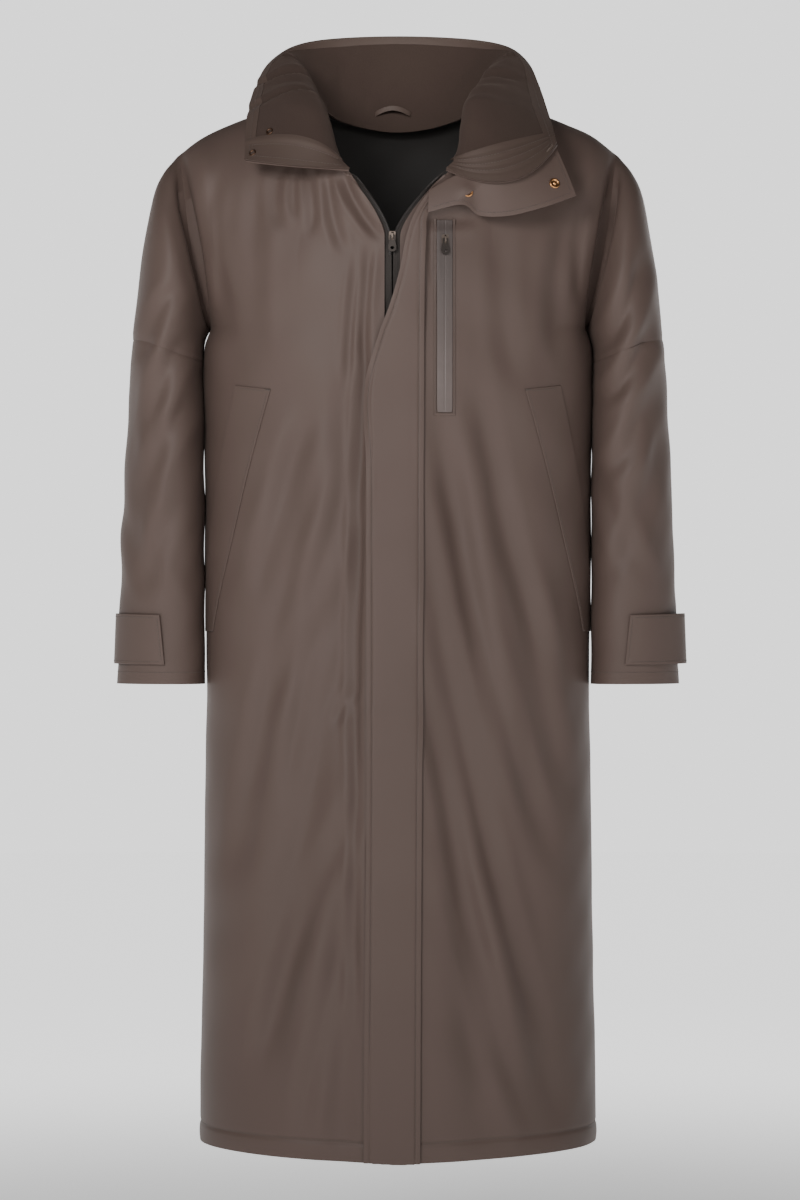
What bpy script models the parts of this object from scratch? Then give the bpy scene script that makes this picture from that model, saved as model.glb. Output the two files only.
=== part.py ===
"""A long T-cut changing robe, worn open at the neck, as the cloth pieces that a maker cuts and sews.

Metres, +Z up. The origin is the middle of the neck at the height of the shoulder seams, the front faces -Y
and the wearer's left is +X. Each panel is a wall of even thickness; seams are open by SEAM.
"""

import math

import bmesh
import bpy
import numpy as np
from mathutils import Matrix, Vector
from mathutils.bvhtree import BVHTree

# Cloth
WALL = 0.0024
LINING_WALL = 0.0014
TAPE_WALL = 0.001
SEAM = 0.0003
LAID_ON = 0.0006
PLACKET_GAP = 0.0011
WELT_GAP = 0.0014

# Body: rings from the hem up to the underarm
HEM_Z = -1.238
HEM_RISE = 0.0100
UNDERARM_Z = -0.268
UNDERARM_X = 0.2225
RING_ROUNDNESS = 0.87
BODY_RINGS = (
    # z, half width, front depth, back depth
    (HEM_Z, 0.2350, 0.176, 0.170),
    (-1.200, 0.2352, 0.177, 0.171),
    (-1.000, 0.2315, 0.172, 0.166),
    (-0.730, 0.2275, 0.164, 0.158),
    (-0.560, 0.2215, 0.157, 0.151),
    (-0.400, 0.2190, 0.152, 0.146),
    (UNDERARM_Z, UNDERARM_X, 0.148, 0.142),
)

# Shoulder seam, from the neck to the top of the arm, wearer's left
SHOULDER = (
    # x, y, z
    (0.0980, 0.005, 0.0080),
    (0.1500, 0.004, -0.0060),
    (0.1975, 0.002, -0.0226),
    (0.2320, 0.000, -0.0390),
    (0.2625, 0.000, -0.0615),
)
BACK_NECK = (0.0, 0.074, -0.016)
FRONT_NECK = (
    # x, y, z from the zip edge to the shoulder seam
    (0.0560, -0.143, -0.0970),
    (0.0780, -0.124, -0.0745),
    (0.0905, -0.085, -0.0340),
    (0.0960, -0.038, -0.0020),
    (0.0980, 0.005, 0.0080),
)
NECK_SHARE = 0.3
CHEST_FULLNESS = 1.3
ARMHOLE_PULL = 3.0
ARMHOLE_RIDGE = {"height": 0.012, "across": 0.85, "half": 0.09}

# Arm: rings through an outer and an inner point, from the shoulder to the cuff, wearer's left
SLEEVE_SEAM = 5
ARM_RINGS = (
    # outer x, outer z, inner x, inner z, half depth, middle y
    (0.2625, -0.0615, UNDERARM_X, UNDERARM_Z, 0.054, 0.000),
    (0.2790, -0.0825, 0.2290, -0.2750, 0.073, 0.000),
    (0.2905, -0.1085, 0.2330, -0.2820, 0.084, 0.000),
    (0.3010, -0.1610, 0.2350, -0.2900, 0.088, 0.000),
    (0.3080, -0.2100, 0.2355, -0.2990, 0.088, 0.000),
    (0.3150, -0.2800, 0.2350, -0.3080, 0.086, 0.000),
    (0.3205, -0.3510, 0.2340, -0.3650, 0.081, -0.002),
    (0.3255, -0.4460, 0.2330, -0.4530, 0.074, -0.006),
    (0.3290, -0.5415, 0.2315, -0.5450, 0.066, -0.010),
    (0.3315, -0.6200, 0.2300, -0.6220, 0.059, -0.013),
    (0.3340, -0.6880, 0.2285, -0.6880, 0.053, -0.015),
)

# Front zip and placket
ZIP_X = -0.0065
ZIP_SET_BACK = 0.009
ZIP_OPEN_Z = -0.168
TAPE_UNDER = 0.006
TAPE_OVER = 0.0082
TAPE_GAP = 0.0012
TAPE_TOP = 1.93
PLACKET = (
    # z, left edge x, right edge x, height off the front
    (-1.2385, -0.0390, 0.0255, 0.0000),
    (-1.000, -0.0375, 0.0265, 0.0000),
    (-0.700, -0.0360, 0.0280, 0.0000),
    (-0.430, -0.0355, 0.0295, 0.0000),
    (-0.330, -0.0345, 0.0300, 0.0006),
    (-0.280, -0.0215, 0.0302, 0.0020),
    (-0.243, -0.0080, 0.0304, 0.0032),
    (-0.203, 0.0040, 0.0308, 0.0036),
    (-0.166, 0.0140, 0.0322, 0.0036),
    (-0.146, 0.0235, 0.0375, 0.0040),
)
FLAP_START = 1.70
FLAP_COLUMNS = 4
FLAP_SEAT = 0.98
FLAP_GAP = 0.0015
FLAP = (
    # share up the collar's end where it is sewn, then x, y, z of the free edge
    (0.00, 0.0350, -0.1545, -0.1425),
    (0.10, 0.0740, -0.1580, -0.1340),
    (0.24, 0.0940, -0.1500, -0.1450),
    (0.47, 0.1280, -0.1500, -0.1455),
    (0.74, 0.1690, -0.1430, -0.1350),
    (0.985, 0.2060, -0.1310, -0.1210),
)

# Collar, laid open: sections from the neck seam over the roll to the top edge
COLLAR_ROLL = 0.45
COLLAR_LIFT = 0.0032
COLLAR_FRONT_LIFT = 0.0058
FACING_WIDTH = 0.22
FACING_END = 0.12
COLLAR = (
    # place, roll x, y, z, top x, y, z
    (-1.00, -0.1150, -0.1570, -0.0890, -0.1770, -0.1300, -0.0795),
    (-0.82, -0.1000, -0.1220, -0.0120, -0.1750, -0.0720, -0.0200),
    (-0.65, -0.1120, -0.0580, 0.0200, -0.1660, -0.0100, 0.0240),
    (-0.45, -0.1180, 0.0240, 0.0390, -0.1410, 0.0400, 0.0630),
    (-0.22, -0.0800, 0.0660, 0.0450, -0.0960, 0.0770, 0.0860),
    (0.00, 0.0000, 0.0800, 0.0490, 0.0000, 0.0880, 0.0925),
    (0.22, 0.0800, 0.0660, 0.0450, 0.0970, 0.0770, 0.0860),
    (0.45, 0.1180, 0.0240, 0.0390, 0.1440, 0.0400, 0.0640),
    (0.65, 0.1020, -0.0540, 0.0210, 0.1650, -0.0100, 0.0240),
    (0.82, 0.0900, -0.1220, -0.0120, 0.1760, -0.0660, -0.0210),
    (1.00, 0.1240, -0.1600, -0.1070, 0.1850, -0.1180, -0.0590),
)

# Largest folds: soft troughs that run from one point of the front view to another
FRONT_FOLDS = (
    # top x, top z, foot x, foot z, depth, half width
    (-0.058, -0.330, -0.060, -0.760, 0.0080, 0.019),
    (-0.115, -0.400, -0.168, -0.860, 0.0090, 0.024),
    (-0.070, -0.560, -0.150, -1.120, 0.0140, 0.028),
    (-0.064, -0.930, -0.066, -1.225, 0.0070, 0.020),
    (0.064, -0.430, 0.122, -0.940, 0.0120, 0.025),
    (0.112, -0.380, 0.176, -0.860, 0.0090, 0.024),
    (0.054, -0.680, 0.098, -1.180, 0.0110, 0.026),
    (0.140, -0.800, 0.178, -1.200, 0.0080, 0.026),
)
BACK_FOLDS = (
    (-0.150, -0.360, -0.175, -1.100, 0.0110, 0.028),
    (-0.075, -0.300, -0.095, -1.180, 0.0120, 0.030),
    (0.005, -0.480, 0.012, -1.200, 0.0130, 0.032),
    (0.085, -0.320, 0.090, -1.150, 0.0110, 0.028),
    (0.155, -0.400, 0.170, -1.120, 0.0110, 0.028),
)
FOLD_FADE = 0.16

# Pieces laid on the panels
WELT_TOP_Z, WELT_FOOT_Z = -0.338, -0.626
WELT_ANGLES = (
    # share of the length, inner edge, outer edge, in degrees round from the front
    (0.0, 39.0, 56.0),
    (0.35, 50.0, 67.5),
    (0.7, 60.5, 78.0),
    (1.0, 72.0, 87.0),
)
WELT_WALL = 0.0014
CHEST_ZIP_X, CHEST_ZIP_WIDTH = 0.0540, 0.0180
CHEST_ZIP_TOP_Z, CHEST_ZIP_FOOT_Z = -0.150, -0.372
CHEST_SLIDER_Z = -0.172
CUFF_TAB_TOP, CUFF_TAB_FOOT = -0.604, -0.664
CUFF_TAB_WALL = 0.0022
CUFF_TABS = {
    # side: (front end, back end in degrees from the outer point, stand-off at the outer point)
    -1: (98.0, -75.0, 0.0010),
    1: (106.0, -60.0, 0.0065),
}
CUFF_TAB_SLANT = 7.0
LINING_DEPTH, LINING_REACH = 0.30, 0.72
LOOP_X, LOOP_HALF, LOOP_OUT, LOOP_RISE, LOOP_BAND = -0.006, 0.021, 0.009, 0.007, 0.006
LOOP_PLACE = 0.315

# Zip slider and pull tab, in their own frame: X across, -Y out of the cloth, Z up
SLIDER = {"width": 0.0080, "length": 0.0105, "height": 0.0030, "bevel": 0.0007}
BRIDGE = {"width": 0.0020, "half": 0.0042, "rise": 0.0032, "bar": 0.0011, "axis": 0.0011}
PULL = {"width": 0.0092, "slot": 0.0031, "bar": 0.0007, "reach": 0.0053, "length": 0.0185, "wall": 0.0014}

SNAP_RADIUS, SNAP_HEIGHT = 0.0075, 0.0026
FLAP_SNAPS = (
    # name, place along the flap, share across it
    ("snap_flap_end", 4.5, 0.62),
    ("snap_flap_fold", 1.25, 0.58),
)
COLLAR_SNAPS = (
    # name, place round the collar, share up it
    ("snap_collar", -0.915, 0.80),
    ("snap_collar_corner", -0.975, 0.92),
)

# Mesh counts
ROWS_BODY, ROWS_YOKE, COLUMNS_NECK, COLUMNS_SHOULDER = 17, 8, 4, 7
RINGS_UPPER_ARM, RINGS_SLEEVE = 8, 12
COLLAR_COLUMNS, COLLAR_ROWS = 30, 5


def through(keys, rows, place):
    """Smooth curve through table rows, at the place where the key column has that value."""
    keys = np.asarray(keys, float)
    rows = np.asarray(rows, float)
    i = int(np.clip(np.searchsorted(keys, place, side="right") - 1, 0, len(keys) - 2))
    slopes = np.gradient(rows, keys, axis=0)
    step = keys[i + 1] - keys[i]
    u = (place - keys[i]) / step
    h00, h10 = 2 * u**3 - 3 * u**2 + 1, u**3 - 2 * u**2 + u
    return (
        h00 * rows[i]
        + h10 * step * slopes[i]
        + (1 - h00) * rows[i + 1]
        + (u**3 - u**2) * step * slopes[i + 1]
    )


def ease(value):
    value = min(1.0, max(0.0, value))
    return value * value * (3 - 2 * value)


def body_ring(z):
    """Half width, front depth and back depth of the body at a height."""
    return through([r[0] for r in BODY_RINGS], [r[1:] for r in BODY_RINGS], z)


def fold_depth(x, z, folds):
    """How far the folds draw the cloth in at a point of the front or back view."""
    depth = 0.0
    for top_x, top_z, foot_x, foot_z, deep, half in folds:
        along = (z - top_z) / (foot_z - top_z)
        line_x = top_x + (foot_x - top_x) * along
        fade = ease((along + FOLD_FADE) / (2 * FOLD_FADE)) * ease((1 + FOLD_FADE - along) / (2 * FOLD_FADE))
        depth += deep * fade * math.exp(-(((x - line_x) / half) ** 2))
    return depth


def ring_point(side, angle, z, depth_sign, folds):
    """Point of the body below the underarm. Angle 0 is the middle of the front or back, 90 degrees a side."""
    half, front, back = body_ring(z)
    deep = front if depth_sign < 0 else back
    x = side * half * math.sin(angle) ** RING_ROUNDNESS
    y = depth_sign * deep * max(0.0, math.cos(angle)) ** RING_ROUNDNESS
    out = Vector((side * math.sin(angle) / half, depth_sign * math.cos(angle) / deep, 0)).normalized()
    return np.array((x, y, z)) - fold_depth(x, z, folds) * np.array(out)


def zip_edge_angle(side, z):
    """Angle round the body at which a front ends, beside the zip."""
    start = abs(ZIP_X + side * ZIP_SET_BACK)
    return math.asin((start / body_ring(z)[0]) ** (1 / RING_ROUNDNESS))


def shoulder_point(share):
    return through(range(len(SHOULDER)), SHOULDER, share * (len(SHOULDER) - 1))


def front_top(across):
    """Neckline, then shoulder seam, of the wearer's left front."""
    if across >= NECK_SHARE:
        return shoulder_point((across - NECK_SHARE) / (1 - NECK_SHARE))
    return through(range(len(FRONT_NECK)), FRONT_NECK, across / NECK_SHARE * (len(FRONT_NECK) - 1))


def back_top(across):
    """Back neck, then shoulder seam, of the wearer's left half."""
    if across >= NECK_SHARE:
        return shoulder_point((across - NECK_SHARE) / (1 - NECK_SHARE))
    turn = across / NECK_SHARE * math.pi / 2
    start, end = np.array(BACK_NECK), shoulder_point(0)
    share = np.array((math.sin(turn), 1 - math.cos(turn), 1 - math.cos(turn)))
    return start + (end - start) * share


def arm_point(side, angle, place):
    """Point of the arm. Angle 0 is the outer line, 90 degrees the front, 180 the inner line."""
    outer_x, outer_z, inner_x, inner_z, deep, middle_y = through(range(len(ARM_RINGS)), ARM_RINGS, place)
    x = (outer_x + inner_x) / 2 + (outer_x - inner_x) / 2 * math.cos(angle)
    z = (outer_z + inner_z) / 2 + (outer_z - inner_z) / 2 * math.cos(angle)
    return np.array((side * x, middle_y - deep * math.sin(angle), z))


def yoke_point(start, top, armhole, side_ends, across, rise, opening):
    """Point between the underarm level and the neck or shoulder: an arch that meets the armhole line."""
    turn = rise * math.pi / 2
    sweep = (1 - math.cos(turn)) ** CHEST_FULLNESS
    lean = max(0.0, (math.sin(turn) - opening) / (1 - opening)) ** 1.5
    share = np.array((lean, sweep, math.sin(turn)))
    side_share = np.array((math.sin(turn) ** 1.5, sweep, math.sin(turn)))
    side_line = side_ends[0] + (side_ends[1] - side_ends[0]) * side_share
    return start + (top - start) * share + (armhole - side_line) * across**ARMHOLE_PULL


def panel_point(side, depth_sign, across, up):
    """Point of a front (depth_sign -1) or half the back (+1): up 0 is the hem, 1 the underarm, 2 the top."""
    folds = FRONT_FOLDS if depth_sign < 0 else BACK_FOLDS
    level = min(up, 1.0)
    edge = zip_edge_angle(side, HEM_Z + level * (UNDERARM_Z - HEM_Z)) if depth_sign < 0 else 0.0
    angle = edge + across * (math.pi / 2 - edge)
    hem = HEM_Z + HEM_RISE * math.sin(angle) ** 0.8
    start = ring_point(side, angle, hem + level * (UNDERARM_Z - hem), depth_sign, folds)
    if up <= 1.0:
        return start
    mirror = np.array((side, 1, 1))
    rise = up - 1.0
    top = (front_top(across) if depth_sign < 0 else back_top(across)) * mirror
    armhole = arm_point(side, math.pi * (1 - rise) * -depth_sign, 0)
    side_ends = (arm_point(side, math.pi, 0), shoulder_point(1) * mirror)
    opening = 0.0
    if depth_sign < 0:
        open_share = (ZIP_OPEN_Z - UNDERARM_Z) / (FRONT_NECK[0][2] - UNDERARM_Z)
        opening = open_share * max(0.0, 1 - across / NECK_SHARE)
    point = yoke_point(start, top, armhole, side_ends, across, rise, opening)
    ridge = math.exp(-(((across - ARMHOLE_RIDGE["across"]) / ARMHOLE_RIDGE["half"]) ** 2))
    ridge *= ARMHOLE_RIDGE["height"] * math.sin(math.pi * rise) * (1 - across**8)
    return point + np.array((0, depth_sign * ridge, 0))


def across_places():
    neck = [NECK_SHARE * i / COLUMNS_NECK for i in range(COLUMNS_NECK)]
    shoulder = [NECK_SHARE + (1 - NECK_SHARE) * i / COLUMNS_SHOULDER for i in range(COLUMNS_SHOULDER + 1)]
    return neck + shoulder


def up_places():
    return [i / ROWS_BODY for i in range(ROWS_BODY)] + [1 + i / ROWS_YOKE for i in range(ROWS_YOKE + 1)]


def torso_grid(side, depth_sign):
    return [[panel_point(side, depth_sign, a, u) for u in up_places()] for a in across_places()]


def upper_arm_grid(side, depth_sign):
    """Half of the upper arm that is cut in one with a front or with the back."""
    angles = [math.pi * (1 - i / ROWS_YOKE) * -depth_sign for i in range(ROWS_YOKE + 1)]
    places = [SLEEVE_SEAM * k / RINGS_UPPER_ARM for k in range(RINGS_UPPER_ARM + 1)]
    return [[arm_point(side, a, p) for p in places] for a in angles]


def sleeve_grid(side):
    count = 2 * ROWS_YOKE
    last = len(ARM_RINGS) - 1
    angles = [math.pi - 2 * math.pi * i / count for i in range(count + 1)]
    places = [SLEEVE_SEAM + (last - SLEEVE_SEAM) * k / RINGS_SLEEVE for k in range(RINGS_SLEEVE + 1)]
    return [[arm_point(side, a, p) for p in places] for a in angles]


def spot(point):
    return tuple(int(round(c * 1e5)) for c in point)


class Sheet:
    """Open quad surface made of grids, with points that coincide made one."""

    def __init__(self, grids, inside):
        self.points, self.faces, self.index = [], [], {}
        for grid in grids:
            self.add(grid, inside)

    def number(self, point):
        key = spot(point)
        if key not in self.index:
            self.index[key] = len(self.points)
            self.points.append(np.array(point, float))
        return self.index[key]

    def add(self, grid, inside):
        """Adds a grid with its faces turned away from inside(point), or without one as on the collar."""
        quads, agree = [], 0.0
        for i in range(len(grid) - 1):
            for j in range(len(grid[0]) - 1):
                corners = [grid[i][j], grid[i + 1][j], grid[i + 1][j + 1], grid[i][j + 1]]
                middle = sum(corners) / 4
                normal = np.cross(corners[2] - corners[0], corners[3] - corners[1])
                agree += float(normal @ (middle - inside(middle))) if inside else 0.0
                quads.append([self.number(c) for c in corners])
        for a, b, c, d in quads:
            self.faces += [[a, b, c], [a, c, d]] if agree > 0 else [[c, b, a], [d, c, a]]

    def normals(self):
        """Angle-weighted normal at each point's place, by spot."""
        found = {}
        for face in self.faces:
            for k, corner in enumerate(face):
                here = self.points[corner]
                ahead = self.points[face[(k + 1) % len(face)]] - here
                behind = self.points[face[k - 1]] - here
                normal = np.cross(ahead, behind)
                size = np.linalg.norm(normal)
                if size > 0:
                    angle = math.atan2(size, float(ahead @ behind))
                    key = spot(here)
                    found[key] = found.get(key, 0) + normal / size * angle
        return found


def joined_normals(sheets):
    """Normals that neighbouring panels share along their seams."""
    total = {}
    for sheet in sheets:
        for key, normal in sheet.normals().items():
            total[key] = total.get(key, 0) + normal
    for side in (-1, 1):
        underarm = spot((side * UNDERARM_X, 0, UNDERARM_Z))
        if underarm in total:
            total[underarm] = np.array((0.0, 0.0, -1.0))
    for key, normal in total.items():
        if key[1] == 0:
            normal[1] = 0.0
    return {key: normal / np.linalg.norm(normal) for key, normal in total.items()}


def edge_steps(sheet, normals):
    """Inward step of each point on the sheet's border that opens a seam by half of SEAM."""
    count = {}
    for face in sheet.faces:
        for k, a in enumerate(face):
            pair = frozenset((a, face[(k + 1) % len(face)]))
            count[pair] = count.get(pair, 0) + 1
    inward = {}
    for face in sheet.faces:
        for k, a in enumerate(face):
            b = face[(k + 1) % len(face)]
            if count[frozenset((a, b))] == 1:
                along = sheet.points[b] - sheet.points[a]
                for end in (a, b):
                    step = np.cross(normals[spot(sheet.points[end])], along)
                    inward.setdefault(end, []).append(step / np.linalg.norm(step))
    steps = {}
    for end, parts in inward.items():
        middle = sum(parts) / len(parts)
        steps[end] = middle / max(0.3, float(middle @ middle)) * SEAM / 2
    return steps


def wall_mesh(name, sheet, normals, start, wall, trim=True):
    """Closed wall from a sheet: its outer side is start in from the sheet, and it is wall thick."""
    steps = edge_steps(sheet, normals) if trim else {}
    outer, inner = [], []
    for i, point in enumerate(sheet.points):
        normal = normals[spot(point)]
        here = point + steps.get(i, 0)
        outer.append(here - normal * start)
        inner.append(here - normal * (start + wall))
    total = len(outer)
    faces = list(sheet.faces) + [[v + total for v in reversed(f)] for f in sheet.faces]
    border = {}
    for face in sheet.faces:
        for k, a in enumerate(face):
            border[(a, face[(k + 1) % len(face)])] = True
    for a, b in border:
        if (b, a) in border:
            continue
        if spot(sheet.points[a]) < spot(sheet.points[b]):
            faces += [[b, a, b + total], [a, a + total, b + total]]
        else:
            faces += [[b, a, a + total], [b, a + total, b + total]]
    mesh = bpy.data.meshes.new(name)
    mesh.from_pydata([tuple(p) for p in outer + inner], [], faces)
    mesh.shade_smooth()
    mesh.set_sharp_from_angle(angle=math.radians(50))
    return mesh


def add_object(name, mesh, material, parent):
    obj = bpy.data.objects.new(name, mesh)
    bpy.context.scene.collection.objects.link(obj)
    obj.data.materials.append(material)
    obj.parent = parent
    return obj


def make_material(name, colour, roughness, metallic=0.0):
    material = bpy.data.materials.new(name)
    material.use_nodes = True
    shader = material.node_tree.nodes["Principled BSDF"]
    shader.inputs["Base Color"].default_value = (*colour, 1)
    shader.inputs["Roughness"].default_value = roughness
    shader.inputs["Metallic"].default_value = metallic
    material.diffuse_color = (*colour, 1)
    return material


def body_inside(point):
    return np.array((0, 0, point[2]))


def arm_inside(side):
    def middle(point):
        places = np.linspace(0, len(ARM_RINGS) - 1, 60)
        centres = [(arm_point(side, 0, p) + arm_point(side, math.pi, p)) / 2 for p in places]
        return min(centres, key=lambda c: float((c - point) @ (c - point)))

    return middle


def panel_sheets():
    """Front, back and sleeve surfaces by node name."""
    sheets = {"back": Sheet([], None)}
    for side, word in ((-1, "right"), (1, "left")):
        front = Sheet([torso_grid(side, -1)], body_inside)
        front.add(upper_arm_grid(side, -1), arm_inside(side))
        sheets["front_" + word] = front
        sheets["sleeve_" + word] = Sheet([sleeve_grid(side)], arm_inside(side))
        sheets["back"].add(torso_grid(side, 1), body_inside)
        sheets["back"].add(upper_arm_grid(side, 1), arm_inside(side))
    return sheets


class FrontSurface:
    """Both fronts with the zip gap bridged, to lay pieces on: looks along +Y at a point of the front view."""

    def __init__(self, sheets, normals):
        points, faces, numbers, self.normals = [], [], {}, []
        for name in ("front_right", "front_left"):
            first = len(points)
            numbers.update({spot(p): first + i for i, p in enumerate(sheets[name].points)})
            points += [Vector(p) for p in sheets[name].points]
            self.normals += [Vector(normals[spot(p)]) for p in sheets[name].points]
            faces += [[v + first for v in f] for f in sheets[name].faces]
        rows = [u for u in up_places() if panel_point(1, -1, 0, u)[2] < ZIP_OPEN_Z + 0.04]
        edges = [[numbers[spot(panel_point(s, -1, 0, u))] for s in (-1, 1)] for u in rows]
        for (a, b), (c, d) in zip(edges[:-1], edges[1:]):
            faces += [[a, b, d], [a, d, c]]
        self.points, self.faces = points, faces
        self.tree = BVHTree.FromPolygons(points, self.faces)

    def at(self, x, z):
        """Point of the cloth and its normal, seen from the front at x, z."""
        hit, face, lift = None, None, 0.0
        while hit is None:
            hit, _, face, _ = self.tree.ray_cast(Vector((x, -1, z + lift)), Vector((0, 1, 0)))
            lift += 0.0005
        corners = [self.points[i] for i in self.faces[face]]
        area = (corners[1] - corners[0]).cross(corners[2] - corners[0])
        shares = []
        for k in range(3):
            part = (corners[(k + 1) % 3] - hit).cross(corners[(k + 2) % 3] - hit)
            shares.append(part.dot(area) / area.length_squared)
        normal = sum((self.normals[i] * s for i, s in zip(self.faces[face], shares)), Vector())
        return np.array(hit), np.array(normal.normalized())


def strip_mesh(name, columns, normals, gap, wall):
    """Wall laid on a grid of points: gap is its distance from them, wall its thickness, both outwards."""
    sheet_points = [p for column in columns for p in column]
    flat_normals = [n for column in normals for n in column]
    rows = len(columns[0])
    total = len(sheet_points)
    gaps = gap if hasattr(gap, "__len__") else [gap] * total
    low = [p + n * g for p, n, g in zip(sheet_points, flat_normals, gaps)]
    high = [p + n * (g + wall) for p, n, g in zip(sheet_points, flat_normals, gaps)]
    faces, border = [], []
    count = len(columns)
    for i in range(count - 1):
        for j in range(rows - 1):
            a, b, c, d = i * rows + j, (i + 1) * rows + j, (i + 1) * rows + j + 1, i * rows + j + 1
            faces += [[a + total, b + total, c + total], [a + total, c + total, d + total]]
            faces += [[c, b, a], [d, c, a]]
    border += [(i * rows, (i + 1) * rows) for i in range(count - 1)]
    border += [((count - 1) * rows + j, (count - 1) * rows + j + 1) for j in range(rows - 1)]
    border += [((i + 1) * rows + rows - 1, i * rows + rows - 1) for i in reversed(range(count - 1))]
    border += [(j + 1, j) for j in reversed(range(rows - 1))]
    faces += [[a, b, b + total, a + total] for a, b in border]
    mesh = bpy.data.meshes.new(name)
    mesh.from_pydata([tuple(p) for p in low + high], [], faces)
    work = bmesh.new()
    work.from_mesh(mesh)
    bmesh.ops.recalc_face_normals(work, faces=work.faces)
    work.to_mesh(mesh)
    work.free()
    mesh.shade_smooth()
    mesh.set_sharp_from_angle(angle=math.radians(50))
    return mesh


def laid_strip(name, surface, rows, gap, wall):
    """Wall on the fronts. Each row lists its points' x and z, then the row's extra height off the cloth."""
    columns, normals, gaps = [], [], []
    for places, lift in rows:
        found = [surface.at(x, z) for x, z in places]
        columns.append([f[0] for f in found])
        normals.append([f[1] for f in found])
        gaps += [gap + lift] * len(places)
    return strip_mesh(name, columns, normals, gaps, wall)


def placket_mesh(surface):
    keys = [r[0] for r in PLACKET]
    heights = [panel_point(1, -1, 0, u)[2] for u in up_places() if u <= 1.0]
    heights = [z for z in heights if z < keys[4] - 0.01] + list(np.linspace(keys[4], keys[-1], 9))
    heights[0] = keys[0]
    rows = []
    for z in heights:
        left, right, lift = through(keys, [r[1:] for r in PLACKET], z)
        places = [left + (right - left) * i / 4 for i in range(5)]
        if z < keys[4] - 0.01:
            places[1:4] = [ZIP_X - ZIP_SET_BACK, ZIP_X, ZIP_X + ZIP_SET_BACK]
        rows.append(([(x, z) for x in places], max(0.0, lift)))
    return laid_strip("placket", surface, rows, PLACKET_GAP, WALL)


def flap_rows():
    """Sewn and free edge of the flap, from the zip edge on along the under side of the collar's end."""
    edge = panel_point(1, -1, 0, FLAP_START)
    rows = [[*(edge + np.array((0, -2 * LAID_ON, 0))), *FLAP[0][1:]]]
    for up, *free in FLAP[1:]:
        sewn = collar_point(FLAP_SEAT, up) - collar_normal(FLAP_SEAT, up) * (2 * WALL + FLAP_GAP)
        rows.append([*sewn, *free])
    return rows


def flap_frame(place):
    """Sewn point, free point and outward normal of the flap at a place along it."""
    rows = flap_rows()
    keys = range(len(rows))
    row = through(keys, rows, place)
    ahead = through(keys, rows, min(place + 0.1, len(rows) - 1)) - through(keys, rows, max(place - 0.1, 0))
    inner, outer = row[:3], row[3:]
    normal = np.cross(outer - inner, ahead[:3] + ahead[3:])
    return inner, outer, normal / np.linalg.norm(normal) * -np.sign(normal[1])


def flap_mesh():
    columns, normals = [], []
    for i in range(FLAP_COLUMNS * (len(FLAP) - 1) + 1):
        inner, outer, normal = flap_frame(i / FLAP_COLUMNS)
        columns.append([inner + (outer - inner) * k / 2 for k in range(3)])
        normals.append([normal] * 3)
    return strip_mesh("placket_flap", columns, normals, 0.0, WALL)


def welt_mesh(surface, side):
    name = "pocket_welt_left" if side > 0 else "pocket_welt_right"
    rows, count = [], 9
    for i in range(count + 1):
        share = i / count
        z = WELT_TOP_Z + (WELT_FOOT_Z - WELT_TOP_Z) * share
        inner, outer = through([r[0] for r in WELT_ANGLES], [r[1:] for r in WELT_ANGLES], share)
        places = []
        for k in range(5):
            angle = math.radians(inner + (outer - inner) * k / 4)
            drop = 0.006 * (1 - k / 4) * (1 - share)
            places.append((ring_point(side, angle, z, -1, ())[0], z - drop))
        rows.append((places, 0.0))
    return laid_strip(name, surface, rows, WELT_GAP, WELT_WALL)


def chest_zip_mesh(surface):
    rows = []
    for z in np.linspace(CHEST_ZIP_FOOT_Z, CHEST_ZIP_TOP_Z, 12):
        places = [(CHEST_ZIP_X + CHEST_ZIP_WIDTH * (k / 2 - 0.5), z) for k in range(3)]
        rows.append((places, 0.0))
    return laid_strip("chest_zip_tape", surface, rows, LAID_ON, TAPE_WALL)


def zip_tape_mesh(name, side, normals):
    """Tape sewn under a front's zip edge, from the hem to the neck."""
    columns, directions = [], []
    for up in up_places()[:-1] + [TAPE_TOP]:
        edge, inside = panel_point(side, -1, 0, up), panel_point(side, -1, across_places()[1], up)
        normal = normals[spot(edge)] if spot(edge) in normals else normal
        into = inside - edge
        into = into - normal * float(into @ normal)
        into /= np.linalg.norm(into)
        columns.append([edge + into * TAPE_UNDER, edge, edge - into * TAPE_OVER])
        directions.append([normal] * 3)
    return strip_mesh(name, columns, directions, -(WALL + TAPE_GAP + TAPE_WALL), TAPE_WALL)


def neckline_point(place):
    """Neck seam from the wearer's right front (-1) round the back (0) to the left front (1)."""
    side = 1 if place >= 0 else -1
    reach = abs(place)
    mirror = np.array((side, 1, 1))
    if reach <= 0.5:
        return back_top(NECK_SHARE * reach / 0.5) * mirror
    return front_top(NECK_SHARE * (1 - reach) / 0.5) * mirror


def neck_normal(place):
    """Direction out of the cloth of the panel below the neck seam."""
    side = 1 if place >= 0 else -1
    reach = abs(place)
    depth_sign = 1 if reach <= 0.5 else -1
    across = NECK_SHARE * (reach if reach <= 0.5 else 1 - reach) / 0.5
    middle, height, step = max(across, 0.03), 1.93, 0.025
    places = [(middle - step, height), (middle + step, height)]
    places += [(middle, height - step), (middle, height + step)]
    before, after, below, above = (panel_point(side, depth_sign, *place) for place in places)
    normal = np.cross(after - before, above - below) * -side * depth_sign
    return normal / np.linalg.norm(normal)


def collar_point(place, up):
    row = through([r[0] for r in COLLAR], [r[1:] for r in COLLAR], place)
    roll, top = row[:3], row[3:]
    lift = COLLAR_LIFT + COLLAR_FRONT_LIFT * ease((abs(place) - 0.55) / 0.3)
    base = neckline_point(place) + neck_normal(place) * lift
    r = COLLAR_ROLL
    return (
        base * (up - r) * (up - 1) / r
        + roll * up * (up - 1) / (r * (r - 1))
        + top * up * (up - r) / (1 - r)
    )


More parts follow.
